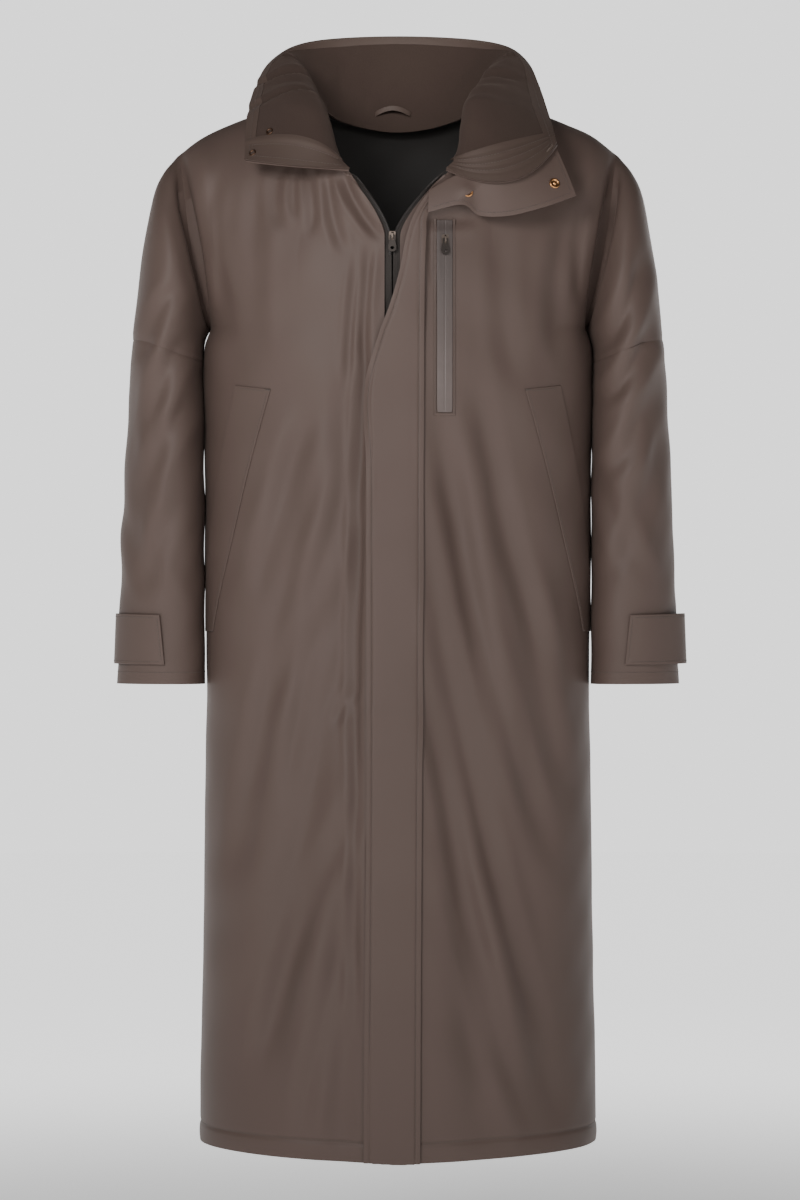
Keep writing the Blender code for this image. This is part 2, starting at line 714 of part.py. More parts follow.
def collar_normal(place, up):
    """Direction out of the collar's lined side."""
    ahead = collar_point(place + 0.02, up) - collar_point(place - 0.02, up)
    above = collar_point(place, up + 0.02) - collar_point(place, up - 0.02)
    normal = np.cross(ahead, above)
    return normal / np.linalg.norm(normal)


def collar_places():
    """Columns of the collar, with one on each side where the lining ends."""
    edge = 1 - FACING_END
    inner = [edge * (2 * i / COLLAR_COLUMNS - 1) for i in range(COLLAR_COLUMNS + 1)]
    outer = (1 + edge) / 2
    return [-1.0, -outer] + inner + [outer, 1.0]


def collar_ups():
    """Rows of the collar, with one where the lining ends below the facing."""
    low = 1 - FACING_WIDTH
    return [low * j / COLLAR_ROWS for j in range(COLLAR_ROWS + 1)] + [1 - FACING_WIDTH / 2, 1.0]


def collar_grid(first, last, low, high):
    places = [p for p in collar_places() if first - 1e-6 <= p <= last + 1e-6]
    ups = [u for u in collar_ups() if low - 1e-6 <= u <= high + 1e-6]
    return [[collar_point(p, u) for u in ups] for p in places]


def collar_sheets():
    """Outer collar, and on its inner side the fleece lining and the facing round it."""
    shell = Sheet([collar_grid(-1, 1, 0, 1)], None)
    edge = 1 - FACING_END
    low = 1 - FACING_WIDTH
    lining = Sheet([collar_grid(-edge, edge, 0, low)], None)
    facing = Sheet([collar_grid(-edge, edge, low, 1)], None)
    for first, last in ((-1, -edge), (edge, 1)):
        facing.add(collar_grid(first, last, 0, 1), None)
    return shell, lining, facing


def back_lining_sheet():
    """Lining inside the top of the back, from the neck seam down, made from the back's own points."""
    rows = [u for u in up_places() if panel_point(1, 1, 0, u)[2] > -LINING_DEPTH]
    places = [a for a in across_places() if a <= LINING_REACH]
    sheet = Sheet([], None)
    for side in (-1, 1):
        sheet.add([[panel_point(side, 1, a, u) for u in rows] for a in places], body_inside)
    return sheet


def cuff_tab_mesh(side):
    """Tab round the sleeve end: from the back seam over the outer side to a slanted front end."""
    name = "cuff_tab_left" if side > 0 else "cuff_tab_right"
    front, back, stand_off = CUFF_TABS[side]
    columns, normals, gaps, count = [], [], [], 12
    rings = [r[1] for r in ARM_RINGS]
    for i in range(count + 1):
        points, outs = [], []
        for k in range(3):
            z = CUFF_TAB_TOP + (CUFF_TAB_FOOT - CUFF_TAB_TOP) * k / 2
            end = front - CUFF_TAB_SLANT * (1 - k / 2)
            degrees = back + (end - back) * i / count
            place = float(np.interp(-z, [-r for r in rings], range(len(rings))))
            angle = math.radians(degrees)
            here = arm_point(side, angle, place)
            ahead = arm_point(side, angle + 0.02, place) - here
            below = arm_point(side, angle, place + 0.02) - here
            normal = np.cross(ahead, below) * side
            normal /= np.linalg.norm(normal)
            points.append(here)
            outs.append(normal)
            lift = stand_off * ease((degrees + 50) / 40) * ease((62 - degrees) / 50)
            gaps.append(LAID_ON + 0.0010 + lift)
        columns.append(points)
        normals.append(outs)
    return strip_mesh(name, columns, normals, gaps, CUFF_TAB_WALL)


def hanger_loop_mesh():
    """Short tape arch at the back neck, its ends on the collar's lining."""
    columns, normals, count = [], [], 10
    for i in range(count + 1):
        share = i / count
        x = LOOP_X + LOOP_HALF * (2 * share - 1)
        bow = math.sin(math.pi * share)
        seat = collar_point(x / LOOP_PLACE, 0.06)
        front = -(LINING_WALL + 2.9 * SEAM + LOOP_OUT * bow**0.7)
        middle = np.array((x, seat[1] + front, seat[2] + LOOP_RISE * bow))
        columns.append([middle - np.array((0, 0, LOOP_BAND / 2)), middle + np.array((0, 0, LOOP_BAND / 2))])
        slope = math.cos(math.pi * share) * LOOP_OUT / LOOP_HALF * math.pi / 2
        normal = np.array((-slope, -1, 0))
        normals.append([normal / np.linalg.norm(normal)] * 2)
    return strip_mesh("hanger_loop", columns, normals, 0.0, TAPE_WALL)


def outline_mesh(name, loops, wall):
    """Flat plate in X and Z with holes, wall thick along Y about its middle."""
    curve = bpy.data.curves.new(name, "CURVE")
    curve.dimensions = "2D"
    curve.fill_mode = "BOTH"
    curve.extrude = wall / 2
    for loop in loops:
        spline = curve.splines.new("POLY")
        spline.points.add(len(loop) - 1)
        for point, (x, z) in zip(spline.points, loop):
            point.co = (x, z, 0, 1)
        spline.use_cyclic_u = True
    maker = bpy.data.objects.new(name, curve)
    mesh = bpy.data.meshes.new_from_object(maker)
    bpy.data.objects.remove(maker)
    mesh.transform(Matrix.Rotation(math.pi / 2, 4, "X"))
    work = bmesh.new()
    work.from_mesh(mesh)
    bmesh.ops.remove_doubles(work, verts=work.verts, dist=1e-6)
    bmesh.ops.recalc_face_normals(work, faces=work.faces)
    work.to_mesh(mesh)
    work.free()
    return mesh


def oval(centre_z, half_x, half_z, count):
    turns = [2 * math.pi * i / count for i in range(count)]
    return [(half_x * math.cos(t), centre_z + half_z * math.sin(t)) for t in turns]


def pull_mesh(name):
    """Pull tab that hangs from its bar: the bar's middle is the origin."""
    half, bar, length = PULL["width"] / 2, PULL["bar"], PULL["length"]
    neck = half * 0.72
    outline = [(-neck, bar), (-neck, -PULL["reach"]), (-half, -length * 0.62)]
    turns = np.linspace(0.2, 2.94, 9)
    outline += [(-half * math.cos(t), -length + half * 0.8 * (1 - math.sin(t))) for t in turns]
    outline += [(half, -length * 0.62), (neck, -PULL["reach"]), (neck, bar)]
    slot = PULL["slot"] / 2
    hole = [(-slot, -bar), (slot, -bar), (slot, -PULL["reach"]), (-slot, -PULL["reach"])]
    eye = oval(-length + half * 0.95, half * 0.52, half * 0.40, 10)
    return outline_mesh(name, [outline, hole, eye], PULL["wall"])


def slider_parts(name):
    """Slider body, and the bridge to join to it that the pull's bar hangs in. Origin: the bar's middle."""
    work = bmesh.new()
    bmesh.ops.create_cube(work, size=1.0)
    bmesh.ops.scale(work, vec=(SLIDER["width"], SLIDER["height"], SLIDER["length"]), verts=work.verts)
    bmesh.ops.bevel(work, geom=work.edges, offset=SLIDER["bevel"], segments=2, affect="EDGES")
    bmesh.ops.translate(work, vec=(0, BRIDGE["axis"] + SLIDER["height"] / 2, 0), verts=work.verts)
    body = bpy.data.meshes.new(name)
    work.to_mesh(body)
    work.free()
    sunk, half, rise, bar = -0.0012, BRIDGE["half"], BRIDGE["rise"], BRIDGE["bar"]
    inner = half - bar
    profile = [(-half, sunk), (-half, rise * 0.55), (-half * 0.6, rise), (half * 0.6, rise)]
    profile += [(half, rise * 0.55), (half, sunk), (inner, sunk), (inner, rise * 0.55)]
    profile += [(inner * 0.7, rise - bar * 0.9)]
    profile += [(-inner * 0.7, rise - bar * 0.9), (-inner, rise * 0.55), (-inner, sunk)]
    arch = outline_mesh(name + "_bridge", [[(z, h) for z, h in profile]], BRIDGE["width"])
    arch.transform(Matrix(((0, 1, 0, 0), (0, 0, -1, BRIDGE["axis"]), (1, 0, 0, 0), (0, 0, 0, 1))))
    return body, arch


def snap_mesh(name):
    """Turned press stud: a raised rim round a small boss, its back at the origin and its face along -Y."""
    radius, height = SNAP_RADIUS, SNAP_HEIGHT
    profile = [(radius, 0), (radius, height * 0.45), (radius * 0.86, height), (radius * 0.66, height)]
    profile += [(radius * 0.55, height * 0.5), (radius * 0.30, height * 0.5), (radius * 0.22, height * 0.95)]
    count = 14
    points, faces = [(0, 0, 0)], []
    for r, h in profile:
        turns = [2 * math.pi * i / count for i in range(count)]
        points += [(r * math.cos(t), -h, r * math.sin(t)) for t in turns]
    points.append((0, -height, 0))
    for i in range(count):
        j = (i + 1) % count
        faces.append([0, 1 + j, 1 + i])
        for k in range(len(profile) - 1):
            low, high = 1 + k * count, 1 + (k + 1) * count
            faces.append([low + i, low + j, high + j, high + i])
        top = 1 + (len(profile) - 1) * count
        faces.append([top + i, top + j, len(points) - 1])
    mesh = bpy.data.meshes.new(name)
    mesh.from_pydata(points, [], faces)
    work = bmesh.new()
    work.from_mesh(mesh)
    bmesh.ops.recalc_face_normals(work, faces=work.faces)
    work.to_mesh(mesh)
    work.free()
    mesh.shade_smooth()
    mesh.set_sharp_from_angle(angle=math.radians(40))
    return mesh


def facing_matrix(origin, normal):
    """Places a piece whose face looks along -Y so that it looks along normal, upright."""
    out = Vector(normal).normalized()
    across = (-out).cross(Vector((0, 0, 1))).normalized()
    up = across.cross(-out).normalized()
    frame = Matrix((across, -out, up)).transposed().to_4x4()
    frame.translation = Vector(origin)
    return frame


def add_zip_pull(words, seat, normal, materials, parent):
    """Slider on a seat point of the tape, and the pull that turns on its bar."""
    height = SEAM + SLIDER["height"] + BRIDGE["axis"]
    frame = facing_matrix(np.array(seat) + np.array(normal) * height, normal)
    body, arch = slider_parts(words + "_slider")
    slider = add_object(words + "_slider", body, materials["zip_metal"], parent)
    bridge = add_object(words + "_bridge", arch, materials["zip_metal"], parent)
    bridge.hide_render = True
    bridge.display_type = "WIRE"
    slider.matrix_world = frame
    bridge.matrix_world = frame
    union = slider.modifiers.new("bridge", "BOOLEAN")
    union.operation = "UNION"
    union.object = bridge
    pull = add_object(words + "_pull", pull_mesh(words + "_pull"), materials["zip_pull"], parent)
    pull.matrix_world = frame


def main():
    for obj in list(bpy.data.objects):
        bpy.data.objects.remove(obj)
    parent = bpy.data.objects.new("robe", None)
    bpy.context.scene.collection.objects.link(parent)
    materials = {
        "shell": make_material("shell", (0.135, 0.100, 0.083), 0.62),
        "fleece": make_material("fleece", (0.075, 0.052, 0.042), 0.95),
        "lining": make_material("lining", (0.012, 0.011, 0.011), 0.7),
        "zip_tape": make_material("zip_tape", (0.055, 0.042, 0.037), 0.7),
        "chest_tape": make_material("chest_tape", (0.17, 0.14, 0.13), 0.3),
        "zip_metal": make_material("zip_metal", (0.35, 0.32, 0.30), 0.35, 1.0),
        "zip_pull": make_material("zip_pull", (0.05, 0.043, 0.04), 0.45, 0.3),
        "brass": make_material("brass", (0.55, 0.30, 0.16), 0.3, 1.0),
    }
    shell = materials["shell"]

    sheets = panel_sheets()
    normals = joined_normals(sheets.values())
    for name, sheet in sheets.items():
        add_object(name, wall_mesh(name, sheet, normals, 0.0, WALL), shell, parent)
    surface = FrontSurface(sheets, normals)

    outer, lining, facing = collar_sheets()
    collar_normals = joined_normals([outer])
    inner_normals = joined_normals([lining, facing])
    add_object("collar", wall_mesh("collar", outer, collar_normals, -WALL, WALL), shell, parent)
    layers = (("collar_lining", lining, "fleece"), ("collar_facing", facing, "shell"))
    for name, sheet, material in layers:
        mesh = wall_mesh(name, sheet, inner_normals, SEAM, LINING_WALL)
        add_object(name, mesh, materials[material], parent)

    lining_mesh = wall_mesh("back_lining", back_lining_sheet(), normals, WALL + SEAM, LINING_WALL)
    add_object("back_lining", lining_mesh, materials["lining"], parent)

    add_object("placket", placket_mesh(surface), shell, parent)
    add_object("placket_flap", flap_mesh(), shell, parent)
    for side, word in ((-1, "right"), (1, "left")):
        tape = zip_tape_mesh("zip_tape_" + word, side, normals)
        add_object("zip_tape_" + word, tape, materials["zip_tape"], parent)
        add_object("pocket_welt_" + word, welt_mesh(surface, side), shell, parent)
        add_object("cuff_tab_" + word, cuff_tab_mesh(side), shell, parent)
    add_object("chest_zip_tape", chest_zip_mesh(surface), materials["chest_tape"], parent)
    add_object("hanger_loop", hanger_loop_mesh(), materials["fleece"], parent)

    for name, place, share in FLAP_SNAPS:
        inner, out, normal = flap_frame(place)
        seat = inner + (out - inner) * share + normal * (WALL + 2.2 * SEAM)
        snap = add_object(name, snap_mesh(name), materials["brass"], parent)
        snap.matrix_world = facing_matrix(seat, normal)
    for name, place, up in COLLAR_SNAPS:
        normal = collar_normal(place, up)
        seat = collar_point(place, up) + normal * (LINING_WALL + 3 * SEAM)
        snap = add_object(name, snap_mesh(name), materials["brass"], parent)
        snap.matrix_world = facing_matrix(seat, normal)

    seat, normal = surface.at(CHEST_ZIP_X, CHEST_SLIDER_Z)
    add_zip_pull("chest_zip", seat + normal * (LAID_ON + TAPE_WALL), normal, materials, parent)
    seat, normal = surface.at(ZIP_X, UNDERARM_Z - 0.002)
    seat = seat + np.array((0, 0, ZIP_OPEN_Z - seat[2]))
    add_zip_pull("front_zip", seat - normal * (WALL + SEAM), normal, materials, parent)


main()
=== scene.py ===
import math
import bpy
import numpy as np
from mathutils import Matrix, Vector
from mathutils.bvhtree import BVHTree


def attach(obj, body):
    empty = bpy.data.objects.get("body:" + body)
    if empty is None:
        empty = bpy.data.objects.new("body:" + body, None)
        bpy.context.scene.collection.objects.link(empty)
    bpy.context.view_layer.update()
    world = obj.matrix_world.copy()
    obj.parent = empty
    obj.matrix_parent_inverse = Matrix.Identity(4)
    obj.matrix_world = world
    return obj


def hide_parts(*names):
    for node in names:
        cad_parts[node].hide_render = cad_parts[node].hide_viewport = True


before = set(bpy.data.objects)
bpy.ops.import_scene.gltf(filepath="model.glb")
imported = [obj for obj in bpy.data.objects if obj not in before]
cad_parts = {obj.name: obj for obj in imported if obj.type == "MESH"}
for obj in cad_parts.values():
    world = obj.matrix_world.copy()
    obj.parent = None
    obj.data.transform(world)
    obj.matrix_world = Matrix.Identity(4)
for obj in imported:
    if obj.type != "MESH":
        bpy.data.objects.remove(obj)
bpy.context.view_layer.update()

print("frame loaded with", len(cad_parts), "nodes")
sides = {"right": -1, "left": 1}  # the wearer's sides; the front faces -Y


class Wire:  # a node's socket that Python's own operators can reckon with
    def __init__(self, finish, socket):
        self.finish, self.socket = finish, socket

    def reckon(self, operation, first, second):
        return self.finish.node("ShaderNodeMath", {"operation": operation}, {0: first, 1: second})

    def __add__(self, other):
        return self.reckon("ADD", self, other)

    def __radd__(self, other):
        return self.reckon("ADD", other, self)

    def __sub__(self, other):
        return self.reckon("SUBTRACT", self, other)

    def __rsub__(self, other):
        return self.reckon("SUBTRACT", other, self)

    def __mul__(self, other):
        return self.reckon("MULTIPLY", self, other)

    def __rmul__(self, other):
        return self.reckon("MULTIPLY", other, self)


class Finish:  # one material
    def __init__(self, name):
        self.material = bpy.data.materials.new(name)
        self.material.use_nodes = True
        self.tree = self.material.node_tree
        self.shader = self.tree.nodes["Principled BSDF"]

    def feed(self, socket, value):
        if isinstance(value, Wire):
            self.tree.links.new(value.socket, socket)
        else:
            socket.default_value = value

    def node(self, kind, settings=None, inputs=None, output=0):
        made = self.tree.nodes.new(kind)
        for key, value in (settings or {}).items():
            setattr(made, key, value)
        for key, value in (inputs or {}).items():
            self.feed(made.inputs[key], value)
        return Wire(self, made.outputs[output])

    def blend(self, share, first, second):
        return self.node("ShaderNodeMix", {"data_type": "RGBA"}, {0: share, 6: first, 7: second}, 2)

    def ownPlace(self):
        return self.node("ShaderNodeTexCoord", output="Object")

    def noise(self, place, scale, detail):
        return self.node("ShaderNodeTexNoise", None, {"Vector": place, "Scale": scale, "Detail": detail})

    def bump(self, strength, distance, height):
        return self.node("ShaderNodeBump", None,
                         {"Strength": strength, "Distance": distance, "Height": height})

    def eased(self, value, ends):  # from low and high, to low and high where those are given
        return self.node("ShaderNodeMapRange", {"interpolation_type": "SMOOTHSTEP"},
                         dict(enumerate((value, *ends))))

    def give(self, values):
        for key, value in values.items():
            self.feed(self.shader.inputs[key], value)
        return self


class Backdrop(Finish):  # the light that comes from all round
    def __init__(self, name):
        self.world = bpy.data.worlds.new(name)
        self.world.use_nodes = True
        self.tree = self.world.node_tree
        self.shader = self.tree.nodes["Background"]


def tint(tone, times):
    return (*(c * times for c in tone), 1)


allCloth = {"dark": 0.72, "pale": 1.28, "roughGrain": 0.08, "relief": 0.0005, "waver": 0.6}


def clothFinish(name, look):
    made = Finish(name)
    place = made.ownPlace()
    broad, grain = made.noise(place, look["patches"], 3), made.noise(place, look["grain"], 2)
    threads = {"Vector": place, "Scale": look["threads"], "Distortion": allCloth["waver"], "Detail": 1}
    warp, weft = (made.node("ShaderNodeTexWave", {"bands_direction": way}, threads, 1) for way in "XZ")
    weave = warp * weft
    level = 0.5 - 0.5 * (look["mottle"] + look["speckle"] + look["weave"])
    shade = broad * look["mottle"] + grain * look["speckle"] + weave * look["weave"] + level
    colour = made.blend(shade, tint(look["tone"], allCloth["dark"]), tint(look["tone"], allCloth["pale"]))
    normal = made.bump(look["bump"], allCloth["relief"], grain * look["nap"] + weave * (1 - look["nap"]))
    made.give({"Base Color": colour, "Roughness": look["rough"] + grain * allCloth["roughGrain"],
               "Normal": normal})
    made.give({"Sheen Weight": look["sheen"], "Sheen Roughness": look["sheenRough"],
               "Sheen Tint": tint(look["sheenTone"], 1)})
    made.give({"Specular IOR Level": look["gloss"]})
    return made.material


lookNames = ("tone", "rough", "patches", "grain", "threads", "mottle", "speckle", "weave", "nap", "bump",
             "sheen", "sheenRough", "sheenTone", "gloss")
looks = {  # one row of values per cloth, in the order of the names
    "shell": ((0.095, 0.0653, 0.0548), 0.52, 5, 900, 420, 0.22, 0.12, 0.06, 0.7, 0.1, 0.05, 0.35,
              (0.9, 0.76, 0.68), 0.24),
    # facing: the shell's cloth in a darker tone, a painted shade, worn by the collar's facing and the
    # hanger loop
    "facing": ((0.072, 0.049, 0.0395), 0.58, 8, 900, 420, 0.25, 0.14, 0.06, 0.7, 0.12, 0.1, 0.4,
               (0.85, 0.72, 0.66), 0.25),
    "fleece": ((0.043, 0.029, 0.0238), 0.9, 14, 520, 300, 0.3, 0.3, 0.0, 1.0, 0.5, 0.14, 0.6,
               (0.55, 0.42, 0.36), 0.1),
    "lining": ((0.0235, 0.0212, 0.0198), 0.62, 9, 700, 500, 0.3, 0.1, 0.2, 0.3, 0.12, 0.05, 0.4,
               (0.6, 0.58, 0.56), 0.25),
    "zipTape": ((0.03, 0.024, 0.021), 0.7, 30, 600, 160, 0.1, 0.1, 0.4, 0.2, 0.5, 0.08, 0.5,
                (0.7, 0.64, 0.6), 0.3),
    "thread": ((0.082, 0.062, 0.053), 0.55, 60, 1500, 900, 0.2, 0.2, 0.2, 0.5, 0.3, 0.1, 0.4,
               (0.8, 0.7, 0.65), 0.4),
}
cloths = {name: clothFinish(name, dict(zip(lookNames, row))) for name, row in looks.items()}

coated = {
    # shades: dark and pale streak tones, then the darker top tone, which is painted shade under the flap
    "tone": (0.102, 0.076, 0.068), "rough": 0.36, "streaks": 90, "grain": 900, "dullAndShadedZ": (-0.340, -0.190),
    "shades": (0.85, 1.15, 0.62), "bump": 0.12, "relief": 0.0003, "roughStreak": 0.12, "roughDull": 0.2,
}
metalLook = {"wear": 260, "dark": 0.7, "pale": 1.25, "bump": 0.1, "relief": 0.0002, "roughWear": 0.15}
metals = {  # tone, roughness, metallic
    "zipMetal": ((0.150, 0.118, 0.098), 0.34, 0.9), "zipPull": ((0.034, 0.026, 0.022), 0.34, 0.6),
    "copper": ((0.60, 0.30, 0.13), 0.24, 1.0), "darkCopper": ((0.10, 0.055, 0.035), 0.35, 0.9),
    "coil": ((0.028, 0.022, 0.020), 0.42, 0.0),
}


def coatedFinish(name):  # shiny below; towards the top rougher, and darker as painted shade under the flap
    made = Finish(name)
    place = made.ownPlace()
    streak, grain = made.noise(place, coated["streaks"], 3), made.noise(place, coated["grain"], 1)
    dullAndShaded = made.eased(made.node("ShaderNodeSeparateXYZ", None, {0: place}, 2), coated["dullAndShadedZ"])
    # the top of the tape darkens as painted shade under the flap, and roughens
    dark, pale, top = (tint(coated["tone"], times) for times in coated["shades"])
    colour = made.blend(dullAndShaded, made.blend(streak, dark, pale), top)
    rough = coated["rough"] + streak * coated["roughStreak"] + dullAndShaded * coated["roughDull"]
    normal = made.bump(coated["bump"], coated["relief"], streak * 0.7 + grain * 0.3)
    return made.give({"Base Color": colour, "Roughness": rough, "Normal": normal}).material


def metalFinish(name, tone, rough, metallic):
    made = Finish(name)
    worn = made.noise(made.ownPlace(), metalLook["wear"], 4)
    colour = made.blend(worn, tint(tone, metalLook["dark"]), tint(tone, metalLook["pale"]))
    normal = made.bump(metalLook["bump"], metalLook["relief"], worn)
    made.give({"Base Color": colour, "Roughness": rough + worn * metalLook["roughWear"]})
    return made.give({"Metallic": metallic, "Normal": normal}).material


cloths["chestTape"] = coatedFinish("coatedTape")
for name, row in metals.items():
    cloths[name] = metalFinish(name, *row)
print("finishes made:", len(cloths))


def mm(rows):  # a table written in millimetres, or in thousandths of its own unit
    return np.array(rows) / 1000


# the robe's form, on the same sizes as the solids
wall = {"shell": 0.0024, "lining": 0.0014, "tape": 0.0010, "tapeSoft": 0.0003, "seam": 0.0003}
body = {
    "hemZ": -1.238, "hemRise": 0.010, "underarmZ": -0.268, "roundness": 0.87,
    "rings": mm((  # z, half width, front depth, back depth
        (-1238, 235, 176, 170), (-1200, 235.2, 177, 171), (-1000, 231.5, 172, 166),
        (-730, 227.5, 164, 158), (-560, 221.5, 157, 151), (-400, 219, 152, 146), (-268, 222.5, 148, 142))),
    "shoulder": mm((  # x, y, z
        (98, 5, 8), (150, 4, -6), (197.5, 2, -22.6), (232, 0, -39), (262.5, 0, -61.5))),
    "backNeck": (0.0, 0.074, -0.016),
    "frontNeck": mm((  # x, y, z from the zip edge to the shoulder
        (56, -143, -97), (78, -124, -74.5), (90.5, -85, -34), (96, -38, -2), (98, 5, 8))),
    "neckShare": 0.3, "fullness": 1.3, "armholePull": 3.0, "ridgeHeight": 0.012, "ridgeAcross": 0.85,
    "ridgeHalf": 0.09,
    "zipX": -0.0065, "zipSetBack": 0.009, "zipOpenZ": -0.168,
    "frontFolds": mm((  # top x, top z, foot x, foot z, depth, half width
        (-58, -330, -60, -760, 8, 19), (-115, -400, -168, -860, 9, 24), (-70, -560, -150, -1120, 14, 28),
        (-64, -930, -66, -1225, 7, 20), (64, -430, 122, -940, 12, 25), (112, -380, 176, -860, 9, 24),
        (54, -680, 98, -1180, 11, 26), (140, -800, 178, -1200, 8, 26))),
    "backFolds": mm((
        (-150, -360, -175, -1100, 11, 28), (-75, -300, -95, -1180, 12, 30), (5, -480, 12, -1200, 13, 32),
        (85, -320, 90, -1150, 11, 28), (155, -400, 170, -1120, 11, 28))),
    "foldFade": 0.16,
    "swell": mm((  # z, how far the sides stand out towards the sleeves
        (-1238, 0), (-780, 0), (-700, 0.6), (-640, 3.4), (-560, 8), (-450, 10.4), (-380, 11.6),
        (-330, 11.3), (-300, 9.6), (-292, 8.6), (-284, 6.8), (-276, 3.6), (-268, 0))),
}
arm = {
    "seam": 5,
    "rings": mm((  # outer x, outer z, inner x, inner z, half depth, middle y
        (262.5, -61.5, 222.5, -268, 54, 0), (279, -82.5, 226.4, -274.5, 73, 0),
        (290.5, -108.5, 228.8, -281, 84, 0), (301, -161, 230.2, -288.5, 88, 0),
        (308, -210, 230.7, -296.5, 88, 0), (315, -280, 230.4, -308, 86, 0),
        (320.5, -351, 229.8, -365, 81, -2), (325.5, -446, 229.2, -453, 74, -6),
        (329, -541.5, 229.2, -545, 66, -10), (331.5, -620, 228.8, -622, 59, -13),
        (334, -688, 228.5, -688, 53, -15))),
    # how far forward the inner side of the sleeve lies, and where
    "lean": 0.013, "leanFrom": 4.6, "leanOver": 2,
}


def through(keys, rows, place):  # smooth curve through a table's rows
    keys, rows, place = np.asarray(keys, float), np.asarray(rows, float), np.asarray(place, float)
    i = np.clip(np.searchsorted(keys, place, side="right") - 1, 0, len(keys) - 2)
    slopes = np.gradient(rows, keys, axis=0)
    step = np.asarray(keys[i + 1] - keys[i])[..., None]
    u = np.asarray(place - keys[i])[..., None] / step
    low = 2 * u**3 - 3 * u**2 + 1
    return (low * rows[i] + (u**3 - 2 * u**2 + u) * step * slopes[i]
            + (1 - low) * rows[i + 1] + (u**3 - u**2) * step * slopes[i + 1])


def along(rows, place):
    return through(range(len(rows)), rows, place)


def ease(value):
    value = np.clip(value, 0, 1)
    return value * value * (3 - 2 * value)


def unit(vectors):
    return vectors / np.maximum(np.linalg.norm(vectors, axis=-1, keepdims=True), 1e-12)


def readTable(table, place):  # a table's columns after its first, read off along the first
    rows = np.array(table)
    return np.moveaxis(through(rows[:, 0], rows[:, 1:], place), -1, 0)


def bell(value):  # 1 at nought, falling off smoothly on both sides
    return np.exp(-(value**2))


def spread(low, high, steps):
    return np.linspace(low, high, steps + 1)


def crossed(first, second):
    return np.meshgrid(first, second, indexing="ij")


def farAlong(path):
    return np.concatenate(([0], np.cumsum(np.linalg.norm(np.diff(path, axis=0), axis=1))))


def pick(distance, far, values):
    return np.stack([np.interp(distance, far, values[:, k]) for k in range(3)], -1)


def bodyRing(z):
    return readTable(body["rings"], z)


def foldDepth(x, z, folds):
    depth, fade = np.zeros_like(x), body["foldFade"]
    for topX, topZ, footX, footZ, deep, half in folds:
        share = (z - topZ) / (footZ - topZ)
        ends = ease((share + fade) / (2 * fade)) * ease((1 + fade - share) / (2 * fade))
        depth = depth + deep * ends * bell((x - topX - (footX - topX) * share) / half)
    return depth


def ringPoint(side, angle, z, face, folded=True):
    half, front, back = bodyRing(z)
    deep = front if face < 0 else back
    swell = np.maximum(0, readTable(body["swell"], z)[0])
    x = side * (half * np.sin(angle) ** body["roundness"] + swell * np.sin(angle) ** 8)
    y = face * deep * np.maximum(0, np.cos(angle)) ** body["roundness"]
    out = unit(np.stack((side * np.sin(angle) / half, face * np.cos(angle) / deep, 0 * x), -1))
    point = np.stack((x, y, z + 0 * x), -1)
    if folded:
        point = point - foldDepth(x, z, body["frontFolds" if face < 0 else "backFolds"])[..., None] * out
    return point


def zipEdgeAngle(side, z):
    reach = abs(body["zipX"] + side * body["zipSetBack"]) / bodyRing(z)[0]
    return np.arcsin(reach ** (1 / body["roundness"]))


def topLine(face, across):  # neck, then shoulder seam, of the wearer's left half
    neck = np.clip(across / body["neckShare"], 0, 1)
    if face < 0:
        inner = along(body["frontNeck"], neck * (len(body["frontNeck"]) - 1))
    else:
        start, end = np.array(body["backNeck"]), np.array(body["shoulder"][0])
        turn = neck * np.pi / 2
        inner = start + (end - start) * np.stack((np.sin(turn), 1 - np.cos(turn), 1 - np.cos(turn)), -1)
    share = np.clip((across - body["neckShare"]) / (1 - body["neckShare"]), 0, 1)
    outer = along(body["shoulder"], share * (len(body["shoulder"]) - 1))
    return np.where((across < body["neckShare"])[..., None], inner, outer)


def armPoint(side, angle, place):
    outerX, outerZ, innerX, innerZ, deep, middleY = np.moveaxis(along(arm["rings"], place), -1, 0)
    x = (outerX + innerX) / 2 + (outerX - innerX) / 2 * np.cos(angle)
    z = (outerZ + innerZ) / 2 + (outerZ - innerZ) / 2 * np.cos(angle)
    lean = arm["lean"] * ease((place - arm["leanFrom"]) / arm["leanOver"]) * np.cos(angle)
    return np.stack((side * x, middleY - deep * np.sin(angle) + lean, z), -1)


def panelPoint(side, face, across, up):  # up is 0 at the hem, 1 at the underarm, 2 at the top
    across, up = np.broadcast_arrays(np.asarray(across, float), np.asarray(up, float))
    level, rise = np.minimum(up, 1), np.maximum(up - 1, 0)
    z = body["hemZ"] + level * (body["underarmZ"] - body["hemZ"])
    edge = zipEdgeAngle(side, z) if face < 0 else 0 * level
    angle = edge + across * (np.pi / 2 - edge)
    hem = body["hemZ"] + body["hemRise"] * np.sin(angle) ** 0.8
    start = ringPoint(side, angle, hem + level * (body["underarmZ"] - hem), face)
    mirror, turn = np.array((side, 1, 1)), rise * np.pi / 2
    top = topLine(face, across) * mirror
    armhole = armPoint(side, np.pi * (1 - rise) * -face, 0 * rise)
    armpit, shoulder = armPoint(side, np.pi, 0), np.array(body["shoulder"][-1]) * mirror
    opening = 0 * across
    if face < 0:
        share = (body["zipOpenZ"] - body["underarmZ"]) / (body["frontNeck"][0][2] - body["underarmZ"])
        opening = share * np.maximum(0, 1 - across / body["neckShare"])
    sweep, climb = (1 - np.cos(turn)) ** body["fullness"], np.sin(turn)
    lean = np.maximum(0, (climb - opening) / (1 - opening)) ** 1.5
    sideLine = armpit + (shoulder - armpit) * np.stack((climb**1.5, sweep, climb), -1)
    point = start + (top - start) * np.stack((lean, sweep, climb), -1)
    point = point + (armhole - sideLine) * (across ** body["armholePull"])[..., None]
    ridge = bell((across - body["ridgeAcross"]) / body["ridgeHalf"]) * (1 - across**8)
    point[..., 1] += face * ridge * body["ridgeHeight"] * np.sin(np.pi * rise)
    return np.where((up <= 1)[..., None], start, point)


